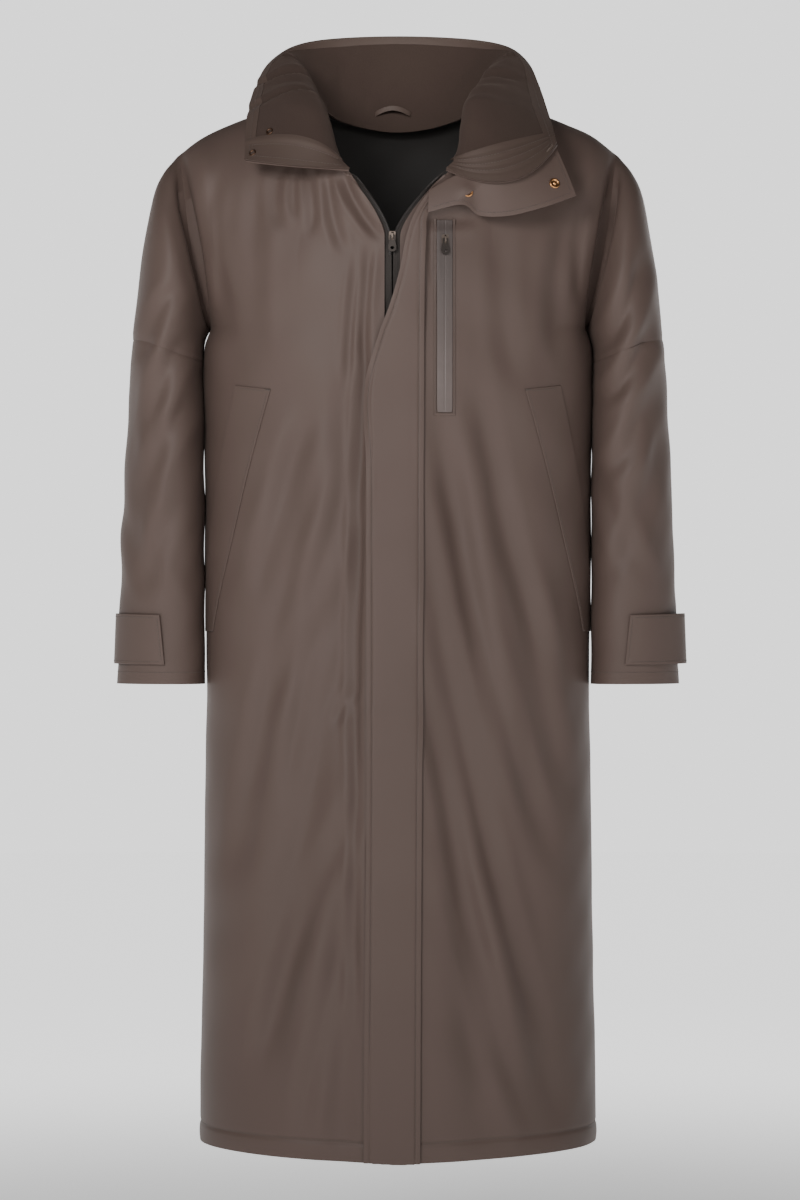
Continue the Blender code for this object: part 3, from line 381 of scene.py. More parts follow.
class Cloth:  # an open surface joined from grids; notes keep each point's place in its grid
    def __init__(self):
        self.points, self.faces, self.notes = np.zeros((0, 3)), np.zeros((0, 4), int), np.zeros((0, 3))

    def add(self, grid, notes, inside=None):
        rows, columns = grid.shape[:2]
        index = np.arange(rows * columns).reshape(rows, columns) + len(self.points)
        quads = np.stack((index[:-1, :-1], index[1:, :-1], index[1:, 1:], index[:-1, 1:]), -1).reshape(-1,
                4)
        if inside is not None:
            facing = np.cross(grid[1:, 1:] - grid[:-1, :-1], grid[:-1, 1:] - grid[1:, :-1])
            middle = (grid[1:, 1:] + grid[:-1, :-1]) / 2
            if (facing * (middle - inside(middle))).sum() < 0:
                quads = quads[:, ::-1]
        self.points = np.vstack((self.points, grid.reshape(-1, 3)))
        self.notes = np.vstack((self.notes, np.stack(np.broadcast_arrays(*notes), -1).reshape(-1, 3)))
        self.faces = np.vstack((self.faces, quads))
        return self

    def join(self, other):
        self.faces = np.vstack((self.faces, other.faces + len(self.points)))
        self.points = np.vstack((self.points, other.points))
        self.notes = np.vstack((self.notes, other.notes))

    def weld(self):
        keys = np.round(self.points * 1e5).astype(int)
        _, first, place = np.unique(keys, axis=0, return_index=True, return_inverse=True)
        self.points, self.notes = self.points[first], self.notes[first]
        self.faces = place.reshape(-1)[self.faces]
        return self

    def normals(self):
        a, b, c, d = (self.points[self.faces[:, k]] for k in range(4))
        facing = np.cross(c - a, d - b)
        total = np.zeros_like(self.points)
        for k in range(4):
            np.add.at(total, self.faces[:, k], facing)
        return unit(total)

    def area(self):
        a, b, c, d = (self.points[self.faces[:, k]] for k in range(4))
        return float(np.linalg.norm(np.cross(c - a, d - b), axis=-1).sum() / 2)

    def push(self, depth):  # moves the cloth in by a depth at each point
        self.points = self.points - self.normals() * depth[:, None]
        return self

    def rim(self):
        edges = np.concatenate([self.faces[:, [k, (k + 1) % 4]] for k in range(4)])
        edges = edges[edges[:, 0] != edges[:, 1]]
        size = len(self.points)
        codes, reverse = edges[:, 0] * size + edges[:, 1], edges[:, 1] * size + edges[:, 0]
        return edges[~np.isin(codes, reverse)]


def meshObject(name, points, faces, material, smooth=50):
    mesh = bpy.data.meshes.new(name)
    mesh.from_pydata(points.tolist(), [], faces if isinstance(faces, list) else faces.tolist())
    mesh.validate()
    mesh.shade_smooth()
    mesh.set_sharp_from_angle(angle=math.radians(smooth))
    mesh.materials.append(material)
    made = bpy.data.objects.new(name, mesh)
    bpy.context.scene.collection.objects.link(made)
    return made


def shellObject(name, cloth, outer, inner, material, nodes=(), rideOn="robe", soften=0):
    normals, size = cloth.normals(), len(cloth.points)
    outer, inner = np.broadcast_to(outer, size)[:, None], np.broadcast_to(inner, size)[:, None]
    points = np.vstack((cloth.points + normals * outer, cloth.points + normals * inner))
    rim = cloth.rim()
    ring = np.stack((rim[:, 1], rim[:, 0], rim[:, 0] + size, rim[:, 1] + size), -1)
    faces = np.vstack((cloth.faces, cloth.faces[:, ::-1] + size, ring))
    made = meshObject(name, points, faces, material)
    if soften:
        bevel = made.modifiers.new("soft edges", "BEVEL")
        bevel.width, bevel.segments = soften, 2
        bevel.limit_method, bevel.angle_limit = "ANGLE", math.radians(50)
    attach(made, rideOn)
    if nodes:
        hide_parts(*nodes)
    return made


creaseSides = {"height": 0.35, "aside": 1.9, "half": 0.8}  # shares of a crease's depth and half width


def creased(x, z, rows, fade=0.2):  # depth of soft troughs with raised sides, from point to point
    total = np.zeros_like(x)
    for x0, z0, x1, z1, bow, depth, half in rows:
        dx, dz = x1 - x0, z1 - z0
        size = math.hypot(dx, dz)
        share = ((x - x0) * dx + (z - z0) * dz) / size**2
        aside = ((x - x0) * dz - (z - z0) * dx) / size - bow * 4 * share * (1 - share)
        ends = ease((share + fade) / (2 * fade)) * ease((1 + fade - share) / (2 * fade))
        raised = bell((np.abs(aside / half) - creaseSides["aside"]) / creaseSides["half"])
        total = total + depth * ends * (bell(aside / half) - creaseSides["height"] * raised)
    return total


def wander(points, size, height):  # slight unevenness of hanging cloth
    x, y, z = (points / size).T
    waves = np.sin(2.1 * x + 1.3 * z + 0.7) * np.sin(1.7 * z - 0.6 * y)
    waves = waves + 0.6 * np.sin(3.3 * z + 1.9 * x + 2.2 * y + 1.1)
    return height * (waves + 0.4 * np.sin(5.1 * x - 4.3 * z + 3.1 * y))


def bodyInside(middle):
    return middle * np.array((0, 0, 1))


def armInside(side):
    places = np.linspace(0, len(arm["rings"]) - 1, 80)
    centres = (armPoint(side, 0 * places, places) + armPoint(side, 0 * places + np.pi, places)) / 2

    def nearest(middle):
        flat = middle.reshape(-1, 1, 3)
        return centres[((flat - centres) ** 2).sum(-1).argmin(1)].reshape(middle.shape)

    return nearest


panels = {
    # of half the front and back, and how many of them below the neck
    "columns": {-1: (120, 46), 1: (78, 18)},
    "hemRows": 26, "bodyRows": 176, "yokeRows": 64, "armRings": 44, "sleeveRings": 96,
    "hemShare": 0.04, "hemUp": 0.022, "hemGroove": 0.0013, "hemHalf": 0.0022, "hemSwell": 0.0009,
    "seamDip": 0.0008, "seamHalf": 0.05, "armholeDip": 0.004, "armholeFold": 0.0080, "armholeHalf": 0.0075,
    "uneven": (0.055, 0.0007),  # size and height
    "armholeReach": (0.45, 0.045), "armholeScale": (0.025, 0.16),  # along the arm and across the body
    "frontCreases": {  # x, z to x, z, then sideways bow, depth, half width
        -1: mm(((-66, -93, -25, -165, 4, 6, 6.2), (-138, -86, -140, -150, 4, 3.4, 8),
            (-104, -92, -101, -158, -3, 3.4, 6.5), (-82, -98, -66, -178, 3, 3.6, 6.5),
            (-34, -190, -42, -305, 1, 4.4, 5.2), (-120, -90, -121, -138, 2, 2.6, 5.5),
            (-47, -205, -56, -330, 2, 3.6, 5.5), (-160, -100, -168, -300, 6, 2.6, 12),
            (-222, -105, -214, -230, 6, 4.8, 11), (-200, -190, -188, -320, 4, 2.8, 14),
            (-38, -290, -47, -560, 2, 6, 6.5), (-46.5, -540, -49, -800, 2, 4.6, 6),
            (-48, -800, -49, -1060, 2, 3.4, 6), (-50, -690, -72, -730, 1, 2.2, 6),
            (-110, -392, -164, -585, 4, 3.6, 12), (-55, -450, -125, -700, 6, 4.4, 12),
            (-78, -590, -130, -810, 6, 4, 11), (-56, -840, -153, -1100, 8, 4.6, 13),
            (-140, -660, -186, -900, 5, 3.6, 12), (-62, -980, -110, -1190, 4, 3.4, 11))),
        1: mm(((36, -149, 90, -143, 2, 4, 8), (38.5, -146, 39, -220, 1, 2.6, 4.2),
            (48, -390, 163, -850, 10, 4.6, 12), (95, -360, 163, -635, 6, 3.8, 12),
            (37, -545, 152, -1050, 10, 4.8, 12), (37, -705, 118, -1050, 6, 4.2, 11),
            (60, -880, 150, -1190, 6, 4, 12), (150, -560, 192, -800, 4, 3.4, 12),
            (230, -110, 216, -240, 5, 5.2, 10), (200, -150, 186, -300, 6, 3.4, 13),
            (120, -170, 134, -330, 5, 2.4, 12))),
    },
    "armFolds": {  # x, z to x, z on the front of the arms, across the sleeve seam
        -1: mm(((-262, -225, -300, -300, 6, 4, 10), (-250, -285, -292, -395, 8, 5, 11),
            (-246, -360, -300, -470, 8, 4.2, 11), (-312, -330, -306, -520, 4, 2.6, 10),
            (-250, -470, -296, -570, 6, 3, 11))),
        1: mm(((288, -190, 242, -290, -6, 6.2, 10), (300, -270, 244, -352, -6, 7, 10),
            (296, -350, 246, -440, -6, 5.2, 11), (306, -330, 296, -500, -4, 3, 10),
            (292, -450, 248, -560, -6, 3.6, 11))),
    },
    "backCreases": mm((
        (-118, -130, -165, -400, 10, 5, 16), (108, -140, 160, -430, -10, 5.2, 16),
        (-60, -90, -85, -230, 6, 3.2, 12), (66, -85, 80, -210, -5, 3.2, 12),
        (-205, -200, -150, -330, 6, 4.4, 12), (207, -190, 155, -350, -6, 4.4, 12),
        (-40, -420, -70, -900, 10, 4.8, 16), (50, -500, 72, -980, -8, 4.8, 16),
        (-130, -560, -100, -1020, -10, 5, 17), (135, -520, 120, -860, 8, 4.4, 15),
        (10, -760, -12, -1180, 8, 4.2, 16), (-180, -700, -170, -1120, 6, 3.8, 14),
        (175, -760, 165, -1150, -6, 4, 14))),
}


def sidewaysPlaces(face):  # closer together below the neck
    (columns, neck), share = panels["columns"][face], body["neckShare"]
    return np.concatenate((spread(0, share, neck)[:-1], spread(share, 1, columns - neck)))


def upPlaces():
    hem, foot = panels["hemShare"], spread(0, panels["hemShare"], panels["hemRows"])[:-1]
    return np.concatenate((foot, spread(hem, 1, panels["bodyRows"])[:-1], spread(1, 2, panels["yokeRows"])))


def addHalf(cloth, side, face):
    across, up = crossed(sidewaysPlaces(face), upPlaces())
    cloth.add(panelPoint(side, face, across, up), (across, up, -1.0), bodyInside)
    rise, place = crossed(spread(0, 1, panels["yokeRows"]), spread(0, arm["seam"], panels["armRings"]))
    cloth.add(armPoint(side, np.pi * (1 - rise) * -face, place), (1.0, 1 + rise, place), armInside(side))


def armFoldDepth(points, facing, place):  # facing is 1 at the front line of the arm, 0 at its sides
    x, y, z = points.T
    total = sum(creased(x, z, rows) * (x * side > 0) for side, rows in panels["armFolds"].items())
    return total * np.sqrt(np.clip(facing, 0, 1)) * ease(place / 1.5)


def panelDepth(cloth, creases):
    x, y, z = cloth.points.T
    across, up, place = cloth.notes.T
    onArm = place >= 0
    rise = np.clip(up - 1, 0, 1)
    hold = np.where(onArm, np.sin(np.pi * np.clip(rise, 0.02, 0.98)) ** 0.5, 1 - across**12)
    depth = creased(x, z, creases) * hold * (1 - 0.6 * onArm)
    (armReach, bodyReach), (armScale, bodyScale) = panels["armholeReach"], panels["armholeScale"]
    dip = np.where(onArm, bell(place / armReach), bell((1 - across) / bodyReach))
    away = np.where(onArm, place * armScale, (1 - across) * bodyScale)
    depth += panels["armholeDip"] * dip * np.sin(np.pi * rise)
    depth += panels["armholeFold"] * bell(away / panels["armholeHalf"]) * np.sin(np.pi * rise) ** 0.7
    depth += panels["seamDip"] * bell((place - arm["seam"]) / panels["seamHalf"])
    depth += armFoldDepth(cloth.points, np.sin(np.pi * rise) * np.where(y < 0.0, 1, 0),
                          np.maximum(place, 0))
    hem = up * (body["underarmZ"] - body["hemZ"])
    depth += panels["hemGroove"] * bell((hem - panels["hemUp"]) / panels["hemHalf"])
    depth -= panels["hemSwell"] * np.sin(np.pi * np.clip(hem / panels["hemUp"], 0, 1))
    return depth + wander(cloth.points, *panels["uneven"]) * hold


def addPanel(name, cloth, creases):
    cloth.weld()
    cloth.push(panelDepth(cloth, creases))
    made = shellObject(name + "_cloth", cloth, 0.0, -wall["shell"], cloths["shell"], [name])
    cloth.area()


clothOf = {"back": Cloth()}
for word, side in sides.items():
    clothOf["front_" + word] = Cloth()
    addHalf(clothOf["front_" + word], side, -1)
    addHalf(clothOf["back"], side, 1)
    addPanel("front_" + word, clothOf["front_" + word], panels["frontCreases"][side])
addPanel("back", clothOf["back"], panels["backCreases"])
print("fronts and back made")

sleeves = {
    "around": 132, "turnShare": 3,  # of a turn, to set it against places along the arm
    "seamFade": 0.4, "cuffFade": 0.5, "uneven": (0.05, 0.0007), "unevenFade": 0.3,
    # angle from the outer line in degrees, place along the arm, to the same, then depth, half width
    "creases": {
        -1: ((20, 7.4, 100, 8.6, 0.0022, 0.10), (-40, 5.4, -120, 6.8, 0.0044, 0.10),
             (-60, 6.4, -140, 7.8, 0.0036, 0.10), (-30, 7.4, -110, 8.8, 0.0030, 0.10)),
        1: ((150, 6.9, 80, 8.2, 0.0024, 0.09), (-120, 5.3, -50, 6.7, 0.0044, 0.10),
            (-140, 6.3, -60, 7.7, 0.0036, 0.10), (-110, 7.5, -30, 8.8, 0.0030, 0.10)),
    },
}


def addSleeve(word, side):
    last = len(arm["rings"]) - 1
    turn, place = crossed(spread(np.pi, -np.pi, sleeves["around"]),
                          spread(arm["seam"], last, panels["sleeveRings"]))
    cloth = Cloth().add(armPoint(side, turn, place), (turn, place, 0.0), armInside(side)).weld()
    turn, place = cloth.notes[:, 0], cloth.notes[:, 1]
    share, rows = sleeves["turnShare"], []
    for a, p, b, q, deep, half in sleeves["creases"][side]:
        rows.append((math.radians(a) / share, p, math.radians(b) / share, q, 0, deep, half))
    below, cuff = place - arm["seam"], ease((last - place) / sleeves["cuffFade"])
    depth = creased(turn / share, place, rows) * ease(below / sleeves["seamFade"]) * cuff
    depth += panels["seamDip"] * bell(below / panels["seamHalf"])
    depth += armFoldDepth(cloth.points, np.sin(turn), place) * cuff
    cloth.push(depth + wander(cloth.points, *sleeves["uneven"]) * ease(below / sleeves["unevenFade"]))
    made = shellObject("sleeve_" + word + "_cloth", cloth, 0.0, -wall["shell"], cloths["shell"],
                       ["sleeve_" + word])
    cloth.area()
    clothOf["sleeve_" + word] = cloth


for word, side in sides.items():
    addSleeve(word, side)
print("sleeves made")


def evened(grid, passes, axis):  # each point drawn towards its neighbours
    last = grid.shape[axis] - 1
    i = np.arange(last + 1)
    for _ in range(passes):
        before = np.take(grid, np.maximum(i - 1, 0), axis)
        after = np.take(grid, np.minimum(i + 1, last), axis)
        grid = (before + 2 * grid + after) / 4
    return grid


def searchable(pieces):  # pairs of points and faces as one surface that rays can meet
    firsts = np.cumsum([0] + [len(points) for points, faces in pieces])
    faces = np.vstack([faces + first for (points, faces), first in zip(pieces, firsts)])
    return BVHTree.FromPolygons(np.vstack([points for points, _ in pieces]).tolist(), faces.tolist())


laying = {"aboveZip": 0.04, "behind": 0.0002, "climb": 0.0005, "slack": 0.0006}


class FrontView:  # the fronts as one surface to lay pieces on, looked at along +Y
    def __init__(self):
        pieces = [(clothOf["front_" + word].points, clothOf["front_" + word].faces) for word in sides]
        up = upPlaces()
        edges = [panelPoint(side, -1, 0.0, up) for side in (-1, 1)]
        keep = edges[1][:, 2] < body["zipOpenZ"] + laying["aboveZip"]
        strip = np.stack([e[keep] for e in edges], 1).reshape(-1, 3)
        steps = np.arange(keep.sum() - 1) * 2
        faces = np.stack((steps, steps + 1, steps + 3, steps + 2), -1)
        pieces.append((strip + np.array((0, laying["behind"], 0)), faces))
        self.tree = searchable(pieces)

    def at(self, x, z):
        hit, lift = None, 0.0
        while hit is None:
            hit, normal, _, _ = self.tree.ray_cast(Vector((x, -1, z + lift)), Vector((0, 1, 0)))
            lift += laying["climb"]
        return np.array(hit), np.array(normal)

    def lay(self, x, z, even=()):  # points and normals, evened out along the grid's rows and columns
        found = [self.at(a, b) for a, b in zip(np.ravel(x), np.ravel(z))]
        points = np.array([f[0] for f in found]).reshape(*np.shape(x), 3)
        normals = np.array([f[1] for f in found]).reshape(*np.shape(x), 3)
        normals = np.where(normals[..., 1:2] > 0, -normals, normals)
        for axis, passes in enumerate(even):
            normals = evened(normals, 3 * passes, axis)
            points[..., 1] = np.minimum(evened(points[..., 1], passes, axis),
                                        points[..., 1] + laying["slack"])
        return points, unit(normals)


frontView = FrontView()


def stripObject(name, points, normals, gap, thick, material, nodes, soften=0.0006):
    top = points + normals * (np.asarray(gap) + thick)[..., None]
    cloth = Cloth().add(top, (0.0, 0.0, 0.0), lambda middle: middle + np.array((0, 1, 0)))
    return shellObject(name, cloth, 0.0, -thick, material, nodes, soften=soften), cloth


placket = {
    "rows": 230, "columns": (12, 12, 12), "border": 0.16, "even": (12, 20), "gap": 0.0011, "crown": 0.0009,
    "topstitch": 0.0060, "groove": 0.0008, "grooveHalf": 0.0010,
    "table": mm((  # z, left edge x, right edge x, height off the front
        (-1238.5, -39, 25.5, 0), (-1000, -37.5, 26.5, 0), (-700, -36, 28, 0), (-430, -35.5, 29.5, 0),
        (-330, -34.5, 30, 0.6), (-280, -21.5, 30.2, 2), (-243, -8, 30.4, 3.2), (-203, 3, 30.8, 3.6),
        (-166, 10, 31.4, 3.6), (-146, 16.5, 32.4, 3), (-131, 24.5, 40, 1.4), (-118, 34, 52, 0.4))),
    "puckerHalf": 0.012,
    "puckers": mm((  # z, height at the free edge
        (-520, 1.6), (-720, 2.2), (-770, 1.8), (-930, 1.6))),
}


def addPlacket():
    z = spread(placket["table"][0][0], placket["table"][-1][0], placket["rows"])
    left, right, lift = readTable(placket["table"], z)
    bounds, counts = (0, placket["border"], 1 - placket["border"], 1), placket["columns"]
    share = np.concatenate([spread(bounds[k], bounds[k + 1], counts[k])[:-1] for k in range(3)] + [[1.0]])
    width = (right - left)[:, None]
    x = left[:, None] + width * share
    points, normals = frontView.lay(x, np.broadcast_to(z[:, None], x.shape), placket["even"])
    gap = placket["gap"] + np.maximum(0, lift)[:, None] + placket["crown"] * np.sin(np.pi * share) ** 0.6
    for aside in (width * share, width * (1 - share)):
        gap = gap - placket["groove"] * bell((aside - placket["topstitch"]) / placket["grooveHalf"])
    for height, size in placket["puckers"]:
        gap = gap + size * bell((z - height) / placket["puckerHalf"])[:, None] * (1 - share) ** 2
    made, cloth = stripObject("placket_cloth", points, normals, gap, wall["shell"], cloths["shell"],
                              ["placket"])
    cloth.area()
    return cloth


clothOf["placket"] = addPlacket()
print("placket made")

collar = {
    "columns": 180, "rows": 48, "roll": 0.45, "lift": 0.0032, "frontLift": 0.0058, "facingEnd": 0.075,
    "facingWidth": (0.17, 0.085),  # share of the height, at the back and on the turned-out ends
    "facingRows": 12, "ends": ((-1, 14), (1, 40)),  # which end, columns of its facing
    "tuck": 0.07, "facingUp": 0.0009,
    "band": (-0.936, 0.0028, 0.0010),  # raised row at the wearer's right end: place, half width, height
    "nap": (0.0004, 0.022, 0.0006),  # height of the lining, size and height of its unevenness
    # where the fronts and back are felt for their slope
    "neckUp": 1.93, "neckStep": 0.025, "neckAcross": 0.03,
    "length": 0.40, "height": 0.13,  # of half the collar, to place its creases in metres
    "creases": mm((  # x, z to x, z along the collar and up it, then bow, depth, half width
        (-200, 45, -190, 106, 3, 7.2, 5.5), (-232, 35, -262, 122, 4, 6.6, 5.2),
        (-290, 35, -318, 122, 3, 5.4, 5.5), (-262, 60, -279, 108, 1, 1.8, 5),
        (200, 45, 190, 106, -3, 7.2, 5.5), (244, 40, 262, 108, -4, 3.8, 7), (306, 40, 322, 102, -3, 2, 8),
        (272, 50, 284, 100, 1, 1.2, 7), (-90, 20, -60, 100, 4, 1.4, 12), (70, 15, 105, 95, -4, 1.6, 12))),
    # sewn rows at the wearer's left end, half width, depth
    "ridges": ((0.936, 0.951, 0.966, 0.981), 0.0016, 0.0003),
    "table": mm((  # place round the neck, roll x, y, z, top x, y, z
        (-1000, -115, -157, -89, -177, -130, -79.5), (-820, -100, -122, -12, -175, -72, -20),
        (-650, -112, -58, 20, -166, -10, 24), (-550, -116.5, -12, 43, -156, 18, 47),
        (-450, -118, 24, 48, -141, 40, 64), (-220, -80, 66, 45, -96, 77, 86), (0, 0, 80, 49, 0, 88, 92.5),
        (220, 80, 66, 45, 97, 77, 86), (450, 118, 24, 48, 144, 40, 65), (550, 112, -12, 43, 157, 18, 47),
        (650, 102, -54, 21, 165, -10, 24), (820, 90, -122, -12, 176, -66, -21),
        (1000, 124, -160, -107, 185, -118, -59))),
}


def necklinePoint(place):
    reach, share = np.abs(place), body["neckShare"]
    line = np.where((reach <= 0.5)[..., None], topLine(1, share * np.minimum(reach, 0.5) / 0.5 * 0.999999),
                    topLine(-1, share * (1 - np.maximum(reach, 0.5)) / 0.5 * 0.999999))
    return line * np.stack((np.where(place >= 0, 1, -1), 1 + 0 * place, 1 + 0 * place), -1)


def neckNormal(place):
    reach, found = np.abs(place), np.zeros((*np.shape(place), 3))
    across = np.maximum(body["neckShare"] * np.where(reach <= 0.5, reach, 1 - reach) / 0.5,
                        collar["neckAcross"])
    high, step = collar["neckUp"], collar["neckStep"]
    for side in (-1, 1):
        for face in (-1, 1):
            before, after = (panelPoint(side, face, across + move, high) for move in (-step, step))
            below, above = (panelPoint(side, face, across, high + move) for move in (-step, step))
            normal = unit(np.cross(after - before, above - below) * -side * face)
            mine = ((place >= 0) == (side > 0)) & ((reach <= 0.5) == (face > 0))
            found = np.where(mine[..., None], normal, found)
    return found


def collarPoint(place, up):
    place, up = np.broadcast_arrays(np.asarray(place, float), np.asarray(up, float))
    table = np.array(collar["table"])
    row = through(table[:, 0], table[:, 1:], place)
    lift = collar["lift"] + collar["frontLift"] * ease((np.abs(place) - 0.55) / 0.3)
    base = necklinePoint(place) + neckNormal(place) * lift[..., None]
    r, up = collar["roll"], up[..., None]
    rolled = row[..., :3] * up * (up - 1) / (r * (r - 1))
    return base * (up - r) * (up - 1) / r + rolled + row[..., 3:] * up * (up - r) / (1 - r)


def collarNormal(place, up):
    ahead = collarPoint(place + 0.02, up) - collarPoint(place - 0.02, up)
    above = collarPoint(place, up + 0.02) - collarPoint(place, up - 0.02)
    return unit(np.cross(ahead, above))


def collarForm(place, up):
    depth = creased(place * collar["length"], up * collar["height"], collar["creases"], 0.25)
    return collarPoint(place, up) - collarNormal(place, up) * depth[..., None]


def facingFoot(place):  # where the facing along the top edge meets the lining
    back, ends = collar["facingWidth"]
    return 1 - back + (back - ends) * ease((np.abs(place) - 0.32) / 0.25)


def collarCloth(places, low, high, rows):  # low and high are functions of the place round the neck
    place, share = crossed(places, spread(0, 1, rows))
    up = low(place) + (high(place) - low(place)) * share
    return Cloth().add(collarForm(place, up), (place, up, 0.0))


def addCollar():
    edge, columns, rows = 1 - collar["facingEnd"], collar["columns"], collar["rows"]
    middle = spread(-edge, edge, columns)
    foot, hidden, top = ((lambda place, up=up: 0 * place + up) for up in (0, -collar["tuck"], 1))
    outer = collarCloth(spread(-1, 1, columns), foot, top, rows)
    made = shellObject("collar_cloth", outer, -wall["shell"], 0.0, cloths["shell"], ["collar"])
    made.data.flip_normals()
    outer.area()
    seat, thick = wall["seam"], wall["lining"]
    lining = collarCloth(middle, hidden, facingFoot, rows)
    height, size, uneven = collar["nap"]
    lining.push(-height - np.maximum(0, wander(lining.points, size, uneven)))
    made = shellObject("collar_lining_cloth", lining, seat + thick, seat, cloths["fleece"],
                       ["collar_lining"])
    lining.area()
    facing = collarCloth(middle, facingFoot, top, collar["facingRows"])
    for end, count in collar["ends"]:
        facing.join(collarCloth(spread(min(end, end * edge), max(end, end * edge), count), foot, top, rows))
    facing.weld()
    place = facing.notes[:, 0]
    lines, half, deep = collar["ridges"]
    ridged = sum(bell((place - line) * collar["length"] / half) for line in lines)
    line, half, high = collar["band"]
    facing.push(deep * ridged - collar["facingUp"] - high * bell((place - line) * collar["length"] / half))
    # the facing's darker finish is painted shade on the shell's cloth
    made = shellObject("collar_facing_cloth", facing, seat + thick, seat, cloths["facing"],
                       ["collar_facing"])
    facing.area()


addCollar()
print("collar made")

backLining = {"gap": 0.0012, "depth": 0.30, "reach": 0.72, "columns": 50, "rows": 60}


def addBackLining():
    cloth = Cloth()
    up = upPlaces()
    low = float(up[panelPoint(1, 1, 0.0, up)[:, 2] > -backLining["depth"]][0])
    for side in (-1, 1):
        across, rise = crossed(spread(0, backLining["reach"], backLining["columns"]),
                               spread(low, 2, backLining["rows"]))
        cloth.add(panelPoint(side, 1, across, rise), (across, rise, -1.0), bodyInside)
    cloth.weld()
    cloth.push(panelDepth(cloth, panels["backCreases"]))
    start = -wall["shell"] - backLining["gap"]
    made = shellObject("back_lining_cloth", cloth, start, start - wall["lining"], cloths["lining"],
                       ["back_lining"])
    cloth.area()


addBackLining()

flap = {
    "start": 1.70, "startOut": 0.0012, "seat": 0.98, "gap": 0.0015, "columns": 140, "rows": 36,
    "crown": 0.0012,
    # fold over the inner stud
    "pleat": 0.0030, "pleatReach": 0.011, "pleatEdge": 0.0045, "pleatStep": 0.003,
    "table": (  # share up the collar's end where it is sewn, x, y, z of the free edge
        (0.00, 0.0350, -0.1545, -0.1425), (0.10, 0.0740, -0.1580, -0.1340),
        (0.24, 0.0940, -0.1500, -0.1450), (0.47, 0.1280, -0.1500, -0.1455),
        (0.74, 0.1690, -0.1430, -0.1350), (0.985, 0.2060, -0.1310, -0.1210)),
}


def flapFrame(place):
    table = np.array(flap["table"])
    out = collarNormal(np.full(len(table), flap["seat"]), table[:, 0])
    edge = collarPoint(flap["seat"], table[:, 0]) - out * (2 * wall["shell"] + flap["gap"])
    edge[0] = panelPoint(1, -1, 0.0, flap["start"]) - np.array((0, flap["startOut"], 0))
    rows = np.hstack((edge, table[:, 1:]))
    here = along(rows, place)
    ahead = along(rows, np.minimum(place + 0.1, len(rows) - 1)) - along(rows, np.maximum(place - 0.1, 0))
    normal = unit(np.cross(here[..., 3:] - here[..., :3], ahead[..., :3] + ahead[..., 3:]))
    return here[..., :3], here[..., 3:], np.where(normal[..., 1:2] > 0, -normal, normal)


def addFlap():
    place = spread(0, len(flap["table"]) - 1, flap["columns"])
    inner, outer, normal = flapFrame(place)
    share = spread(0, 1, flap["rows"])
    points = inner[:, None] + (outer - inner)[:, None] * share[None, :, None]
    normals = np.broadcast_to(normal[:, None], points.shape)
    gap = np.broadcast_to(flap["crown"] * np.sin(np.pi * share) ** 0.7, points.shape[:2])
    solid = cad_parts["snap_flap_fold"]
    stud = np.mean([solid.matrix_world @ v.co for v in solid.data.vertices], 0)
    aside, above = points[..., 0] - stud[0], points[..., 2] - stud[2]
    over = ease((above * 0.8 - aside * 0.6 + flap["pleatEdge"]) / flap["pleatStep"])
    gap = gap + flap["pleat"] * over * np.exp(-(aside**2 + above**2) / flap["pleatReach"] ** 2)
    made, cloth = stripObject("placket_flap_cloth", points, normals, gap, wall["shell"], cloths["shell"],
                              ["placket_flap"])
    cloth.area()
    clothOf["flap"] = cloth


addFlap()
print("lining and flap made")

welts = {
    "topZ": -0.338, "footZ": -0.626, "wall": 0.0011, "gap": 0.0003, "topSlant": 0.006, "rows": 70,
    "columns": 14,
    "angles": (  # share of the way down, inner edge, outer edge in degrees
        (0.0, 39.0, 56.0), (0.35, 50.0, 67.5), (0.7, 60.5, 78.0), (1.0, 72.0, 87.0)),
}


def addWelt(word, side):
    share = spread(0, 1, welts["rows"])
    inner, outer = readTable(welts["angles"], share)
    k = spread(0, 1, welts["columns"])
    angle = np.radians(inner[:, None] + (outer - inner)[:, None] * k)
    z = np.broadcast_to((welts["topZ"] + (welts["footZ"] - welts["topZ"]) * share)[:, None], angle.shape)
    x = ringPoint(side, angle, z, -1, False)[..., 0]
    points, normals = frontView.lay(x, z - welts["topSlant"] * (1 - k) * (1 - share)[:, None])
    name, gap = "pocket_welt_" + word, np.full(x.shape, welts["gap"])
    made, cloth = stripObject(name + "_cloth", points, normals, gap, welts["wall"], cloths["shell"], [name])
    cloth.area()
    clothOf["welt_" + word] = cloth


cuffTabs = {
    "top": -0.604, "foot": -0.664, "wall": 0.0022, "gap": 0.0016, "slant": 7.0, "columns": 70, "rows": 16,
    "ends": {-1: (98.0, -75.0, 0.0010), 1: (106.0, -60.0, 0.0065)},  # front end, back end, stand-off
    "bulge": (-50, 40, 62, 50),  # degrees at which the stand-off starts and ends, each with its run
}


